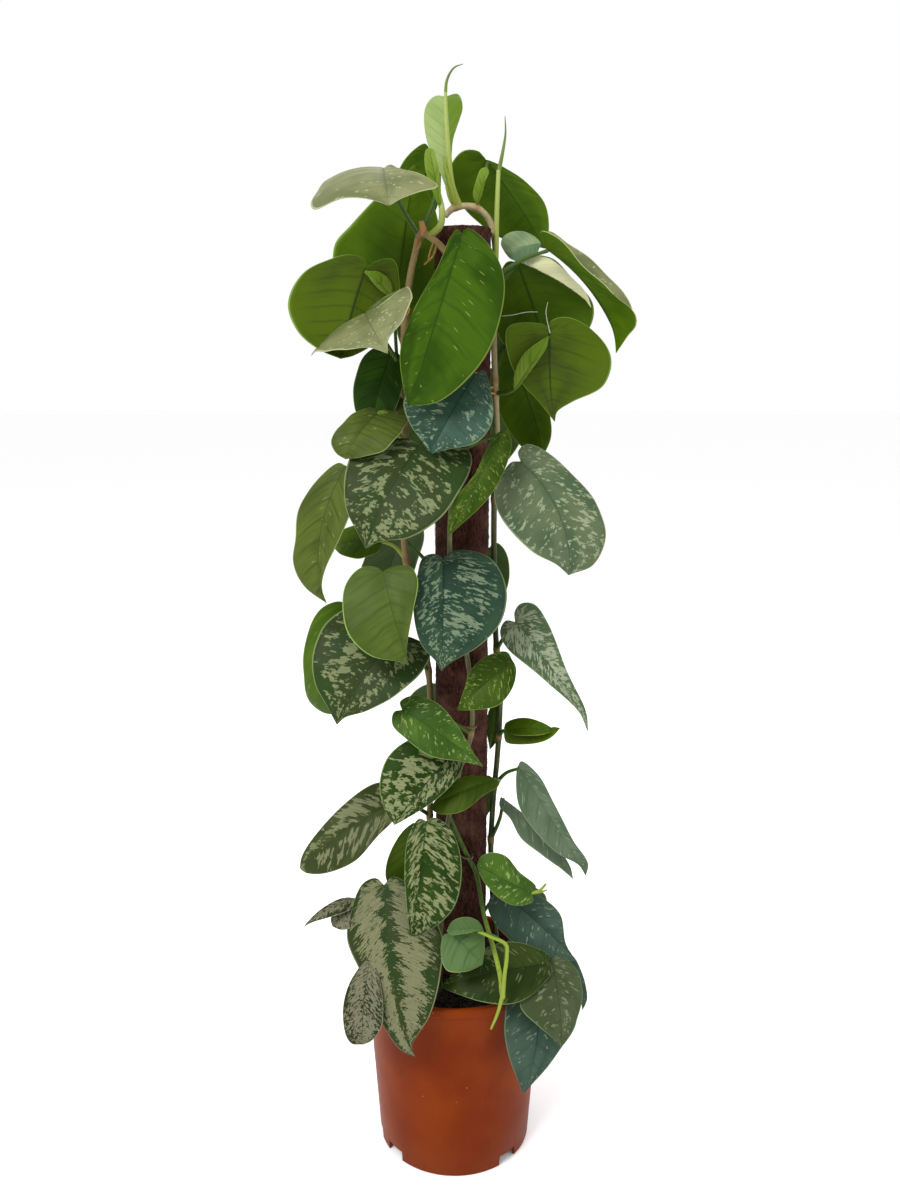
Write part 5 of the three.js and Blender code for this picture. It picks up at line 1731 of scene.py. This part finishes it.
@dataclass
class PottingMix:
    """The soil, and the chips that lie on it."""

    top: float = 184 * MM
    mound: Sequence[Span] = ((0, 4), (35, 4), (60, 1), (80, -2), (88, -5))
    edge: float = 86.5 * MM
    pole_room: float = 28.5 * MM
    stem_room: float = 4 * MM
    chip_count: int = 1500
    chip_size: Span = (1.2 * MM, 3.4 * MM)
    chip_shape: Sequence[Span] = ((0.6, 1.3), (0.5, 1.0), (0.3, 0.6))
    chip_dents: Span = (0.75, 1.2)
    chip_rise: Span = (-0.2 * MM, 0.9 * MM)
    seed: int = 11

    def height_at(self, radius: float) -> float:
        """The height of the soil's surface at a distance from the pot's axis."""
        out, rise = zip(*self.mound)
        return self.top + float(np.interp(radius / MM, out, rise)) * MM

    def chip(self) -> tuple[np.ndarray, np.ndarray]:
        """Models one chip and gives its points and its faces."""
        piece = started("chip", bpy.ops.mesh.primitive_ico_sphere_add, subdivisions=1, radius=1)
        points = np.array([point.co[:] for point in piece.data.vertices])
        faces = np.array([face.vertices[:] for face in piece.data.polygons])
        bpy.data.objects.remove(piece)
        return points, faces

    def build(self, stems: Iterable[Vector]) -> None:
        """Dresses the soil's solid and lays the chips on it, clear of the stems.

        Args:
            stems: Where stems stand in the soil.
        """
        paint(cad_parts["soil"], MixFinish("potting_mix", 0x1C140F, 0x3A2A1E))
        (points, faces), luck = self.chip(), random.Random(self.seed)
        pole_foot = Vector((POLE_OFFSET * MM, 0))
        feet = [(pole_foot, self.pole_room)]
        feet += [(Vector((foot.x, foot.y)), self.stem_room) for foot in stems]
        places: list[np.ndarray] = []
        while len(places) < self.chip_count:
            radius = self.edge * math.sqrt(luck.random())
            turn = luck.uniform(0, 2 * math.pi)
            spot = Vector((radius * math.cos(turn), radius * math.sin(turn)))
            size = luck.uniform(*self.chip_size)
            near_foot = any((spot - foot).length < room + size for foot, room in feet)
            if near_foot or radius + size > self.edge:
                continue
            turned_by = Euler([luck.uniform(0, FULL_TURN) for _ in range(3)]).to_matrix()
            shape = np.array([luck.uniform(*span) for span in self.chip_shape]) * size
            jitter = np.array([[luck.uniform(*self.chip_dents)] * 3 for _ in points])
            chip = (points * jitter * shape) @ np.array(turned_by).T
            height = self.height_at(radius) + luck.uniform(*self.chip_rise)
            places.append(chip + np.array([spot.x, spot.y, height]))
        corners = [faces + index * len(points) for index in range(len(places))]
        mesh = bpy.data.meshes.new("soil_chips")
        mesh.from_pydata(np.concatenate(places).tolist(), [], np.concatenate(corners).tolist())
        piece = bpy.data.objects.new("soil_chips", mesh)
        bpy.context.collection.objects.link(piece)
        paint(piece, MixFinish("bark_chips", 0x241811, 0x4C3626))
        settle(piece, "soil")


@dataclass
class CoirPole:
    """The coir roll with its rough skin, its seam and its loose fibres."""

    radius: float = 27 * MM
    top: float = 922 * MM
    bottom: float = 2.7 * MM
    offset: float = POLE_OFFSET * MM
    seam_angle: float = 20.0
    seam_step: float = 2.2 * MM
    sides: int = 112
    rows: int = 440
    weld: float = 0.02 * MM
    skin_in: float = 0.8 * MM
    lump_count: int = 6
    lump_depth: float = 0.5 * MM
    lump_twist: float = 19.0
    grain: Span = (3.5 * MM, 0.8 * MM)
    cloud: Span = (12 * MM, 0.9 * MM)
    smooth_angle: float = 60.0
    fibre_count: int = 420
    fibre_steps: int = 4
    fibre_heights: Span = (0.2, 0.918)
    fibre_lean: float = 0.5
    fibre_lengths: Span = (5, 16)
    fibre_lift: Span = (0.2, 1.5)
    fibre_in: float = 0.6 * MM
    fibre_radius: float = 0.14 * MM
    girth: float = 0.17
    seed: int = 5

    def skin(self, share: float) -> float:
        """The roll's radius, round from its seam."""
        return self.radius - self.seam_step * (share % 1) ** 2

    def at(self, share: float, height: float, out: float = 0.0) -> Place:
        """A place on the roll's skin."""
        turn = math.radians(self.seam_angle - 90 + 360 * share)
        reach = self.skin(share) + out
        return self.offset + reach * math.cos(turn), reach * math.sin(turn), height

    def roll(self) -> Piece:
        """Rolls a fine grid round the pole, with soft lumps."""
        body = started("coir_pole", bpy.ops.mesh.primitive_grid_add, size=1,
                       x_subdivisions=self.sides, y_subdivisions=self.rows)
        luck = random.Random(self.seed)
        phases = [luck.uniform(0, FULL_TURN) for _ in range(self.lump_count)]
        for point in body.data.vertices:
            share, rise = round(point.co.x + 0.5, 5), point.co.y + 0.5
            height = self.bottom + (self.top - self.bottom) * rise
            turn = 2 * math.pi * share
            lump = sum(math.sin(k * turn + self.lump_twist * k * rise + phase)
                       for k, phase in enumerate(phases, 1)) / self.lump_count
            point.co = self.at(share, height, lump * self.lump_depth - self.skin_in)
        add_modifier(body, "WELD", merge_threshold=self.weld)
        bpy.ops.object.mode_set(mode="EDIT")
        bpy.ops.mesh.select_all(action="SELECT")
        bpy.ops.mesh.fill_holes(sides=0)
        bpy.ops.mesh.normals_make_consistent(inside=False)
        bpy.ops.object.mode_set(mode="OBJECT")
        return body

    def roughen(self, body: Piece, kind: str, size: float, strength: float) -> None:
        """Displaces the skin by one procedural texture."""
        texture = bpy.data.textures.new(f"coir_{kind.lower()}", kind)
        texture.noise_scale = size
        add_modifier(body, "DISPLACE", texture=texture, texture_coords="LOCAL", mid_level=0.5,
                     strength=strength)

    def fibres(self) -> Piece:
        """Lays short loose fibres on the skin."""
        luck = random.Random(self.seed + 1)
        curve = started("coir_fibres", bpy.ops.curve.primitive_nurbs_path_add).data
        curve.splines.clear()
        for _ in range(self.fibre_count):
            share, height = luck.random(), luck.uniform(*self.fibre_heights)
            lean, length = luck.gauss(0, self.fibre_lean), luck.uniform(*self.fibre_lengths) * MM
            spline = curve.splines.new("POLY")
            spline.points.add(self.fibre_steps)
            for index, spot in enumerate(spline.points):
                step = index / self.fibre_steps
                lift = (0.1 + luck.uniform(*self.fibre_lift) * math.sin(math.pi * step)) * MM
                rise = min(self.top - MM, height + length * step * math.cos(lean))
                run = share + length * step * math.sin(lean) / self.girth
                spot.co = (*self.at(run % 1, rise, lift - self.fibre_in), 1)
        curve.bevel_depth = self.fibre_radius
        curve.bevel_resolution = 0
        bpy.ops.object.convert(target="MESH")
        made = bpy.context.object
        paint(made, CoirFinish("coir_strand", 0x4A2C24, 0x7A5244, 0x96705C))
        return made

    def build(self) -> None:
        """Builds and settles the pole and its fibres."""
        body = self.roll()
        self.roughen(body, "STUCCI", *self.grain)
        self.roughen(body, "CLOUDS", *self.cloud)
        paint(body, CoirFinish())
        select_only(body)
        bpy.ops.object.shade_smooth_by_angle(angle=math.radians(self.smooth_angle))
        settle(body, "coir", "pole")
        settle(self.fibres(), "coir")


@dataclass
class PolePin:
    """A bent wire that pins a stem to the pole, in millimetres."""

    name: str
    height: float
    stem_x: float
    stem_forward: float
    leg_x: float
    radius: float = 1.1
    stem_radius: float = 2.4
    play: float = 0.7
    depth: float = 12.0
    lead: float = 4.0
    pole_radius: float = 27.0
    loop_angles: Sequence[float] = (150, 115, 80, 45, 15)
    step: float = 0.8

    def level(self, x: float, forward: float) -> Vector:
        """A place at the pin's height."""
        return Vector((x, -forward, self.height)) * MM

    def skin(self, x: float) -> float:
        """How far forward the pole's skin is at x."""
        return math.sqrt(self.pole_radius ** 2 - (x - POLE_OFFSET) ** 2)

    def leg(self, x: float) -> Route:
        """A leg's places, from its end in the pole outward."""
        return [self.level(x, self.skin(x) - depth) for depth in (self.depth, self.lead, 0)]

    def build(self) -> None:
        """Bends the wire from its legs, its run beside the pole and its loop over the stem."""
        loop = self.stem_radius + self.radius + self.play
        beside = [self.level(x, self.skin(x) + self.radius + self.play)
                  for x in (self.leg_x + self.radius, (self.leg_x + self.stem_x - loop) / 2)]
        over = [self.level(self.stem_x + loop * math.cos(math.radians(degrees)),
                           self.stem_forward + loop * math.sin(math.radians(degrees)))
                for degrees in self.loop_angles]
        far = self.leg(self.stem_x + loop)[::-1]
        route = flowing([*self.leg(self.leg_x), *beside, *over, *far], self.step * MM)
        wire = tube(f"{self.name}_wire", route, [self.radius * MM] * len(route))
        paint(wire, WireFinish())
        settle(wire, "pin", self.name)


# The stage

@dataclass(frozen=True)
class Lamp:
    """One soft square light: its name, its place and width in metres, and its watts."""

    name: str
    place: Place
    size: float
    power: float

    def hang(self, aim: Place) -> None:
        """Adds the light and turns it to what it lights."""
        data = bpy.data.lights.new(self.name, "AREA")
        data.size = self.size
        data.energy = self.power
        lamp = bpy.data.objects.new(self.name, data)
        lamp.location = self.place
        ray = Vector(aim) - Vector(self.place)
        lamp.rotation_euler = ray.to_track_quat("-Z", "Y").to_euler()
        bpy.context.collection.objects.link(lamp)


@dataclass
class Studio:
    """The camera, the floor and the lights."""

    sensor: float = 36.0
    near: float = 0.05
    floor_size: float = 60.0
    floor_drop: float = 0.4 * MM
    world_level: float = 1.0
    middle: Place = (0, 0, 0.5)
    lamps: Sequence[Lamp] = (Lamp("key", (-1.3, -1.6, 2.5), 1.2, 70),
                             Lamp("fill", (1.9, -1.2, 1.1), 1.2, 8),
                             Lamp("back", (0.7, 1.6, 2.4), 1.4, 22))

    def place_camera(self) -> None:
        """Puts the camera where the front of the plant was laid out from."""
        data = bpy.data.cameras.new("camera")
        data.sensor_fit = "VERTICAL"
        data.sensor_height = self.sensor
        data.lens = EYE.focal / EYE.frame_height * self.sensor
        data.clip_start = self.near
        camera = bpy.data.objects.new("camera", data)
        camera.location = Vector((EYE.aside, -EYE.distance, EYE.height)) * MM
        camera.rotation_euler = (math.radians(90 - EYE.pitch), 0, 0)
        bpy.context.collection.objects.link(camera)
        bpy.context.scene.camera = camera

    def lay_floor(self) -> None:
        """Lays the floor just below the pot."""
        floor = started("floor", bpy.ops.mesh.primitive_plane_add, size=self.floor_size,
                        location=(0, 0, -self.floor_drop))
        paint(floor, FloorFinish())

    def build(self) -> None:
        """Builds the whole stage."""
        self.place_camera()
        self.lay_floor()
        world = bpy.data.worlds.new("studio")
        world.use_nodes = True
        sky = world.node_tree.nodes["Background"]
        sky.inputs["Color"].default_value = (1, 1, 1, 1)
        sky.inputs["Strength"].default_value = self.world_level
        bpy.context.scene.world = world
        bpy.context.scene.view_settings.view_transform = "Standard"
        for lamp in self.lamps:
            lamp.hang(self.middle)


def main() -> None:
    """Builds the pieces in order."""
    logging.basicConfig(level=logging.INFO, format="%(name)s %(message)s")
    Studio().build()
    NurseryPot().build()
    PottingMix().build([vine.route[0] for vine in VINES])
    CoirPole().build()
    PolePin("pole_pin_upper", 460.5, 15.9, 30.8, -4.7).build()
    PolePin("pole_pin_lower", 325, 13.2, 31, 3).build()
    maker = BladeMaker(seed=3)
    for vine in VINES:
        vine.build(maker)
    bpy.data.objects.remove(maker.blank)


if __name__ == "__main__":
    main()
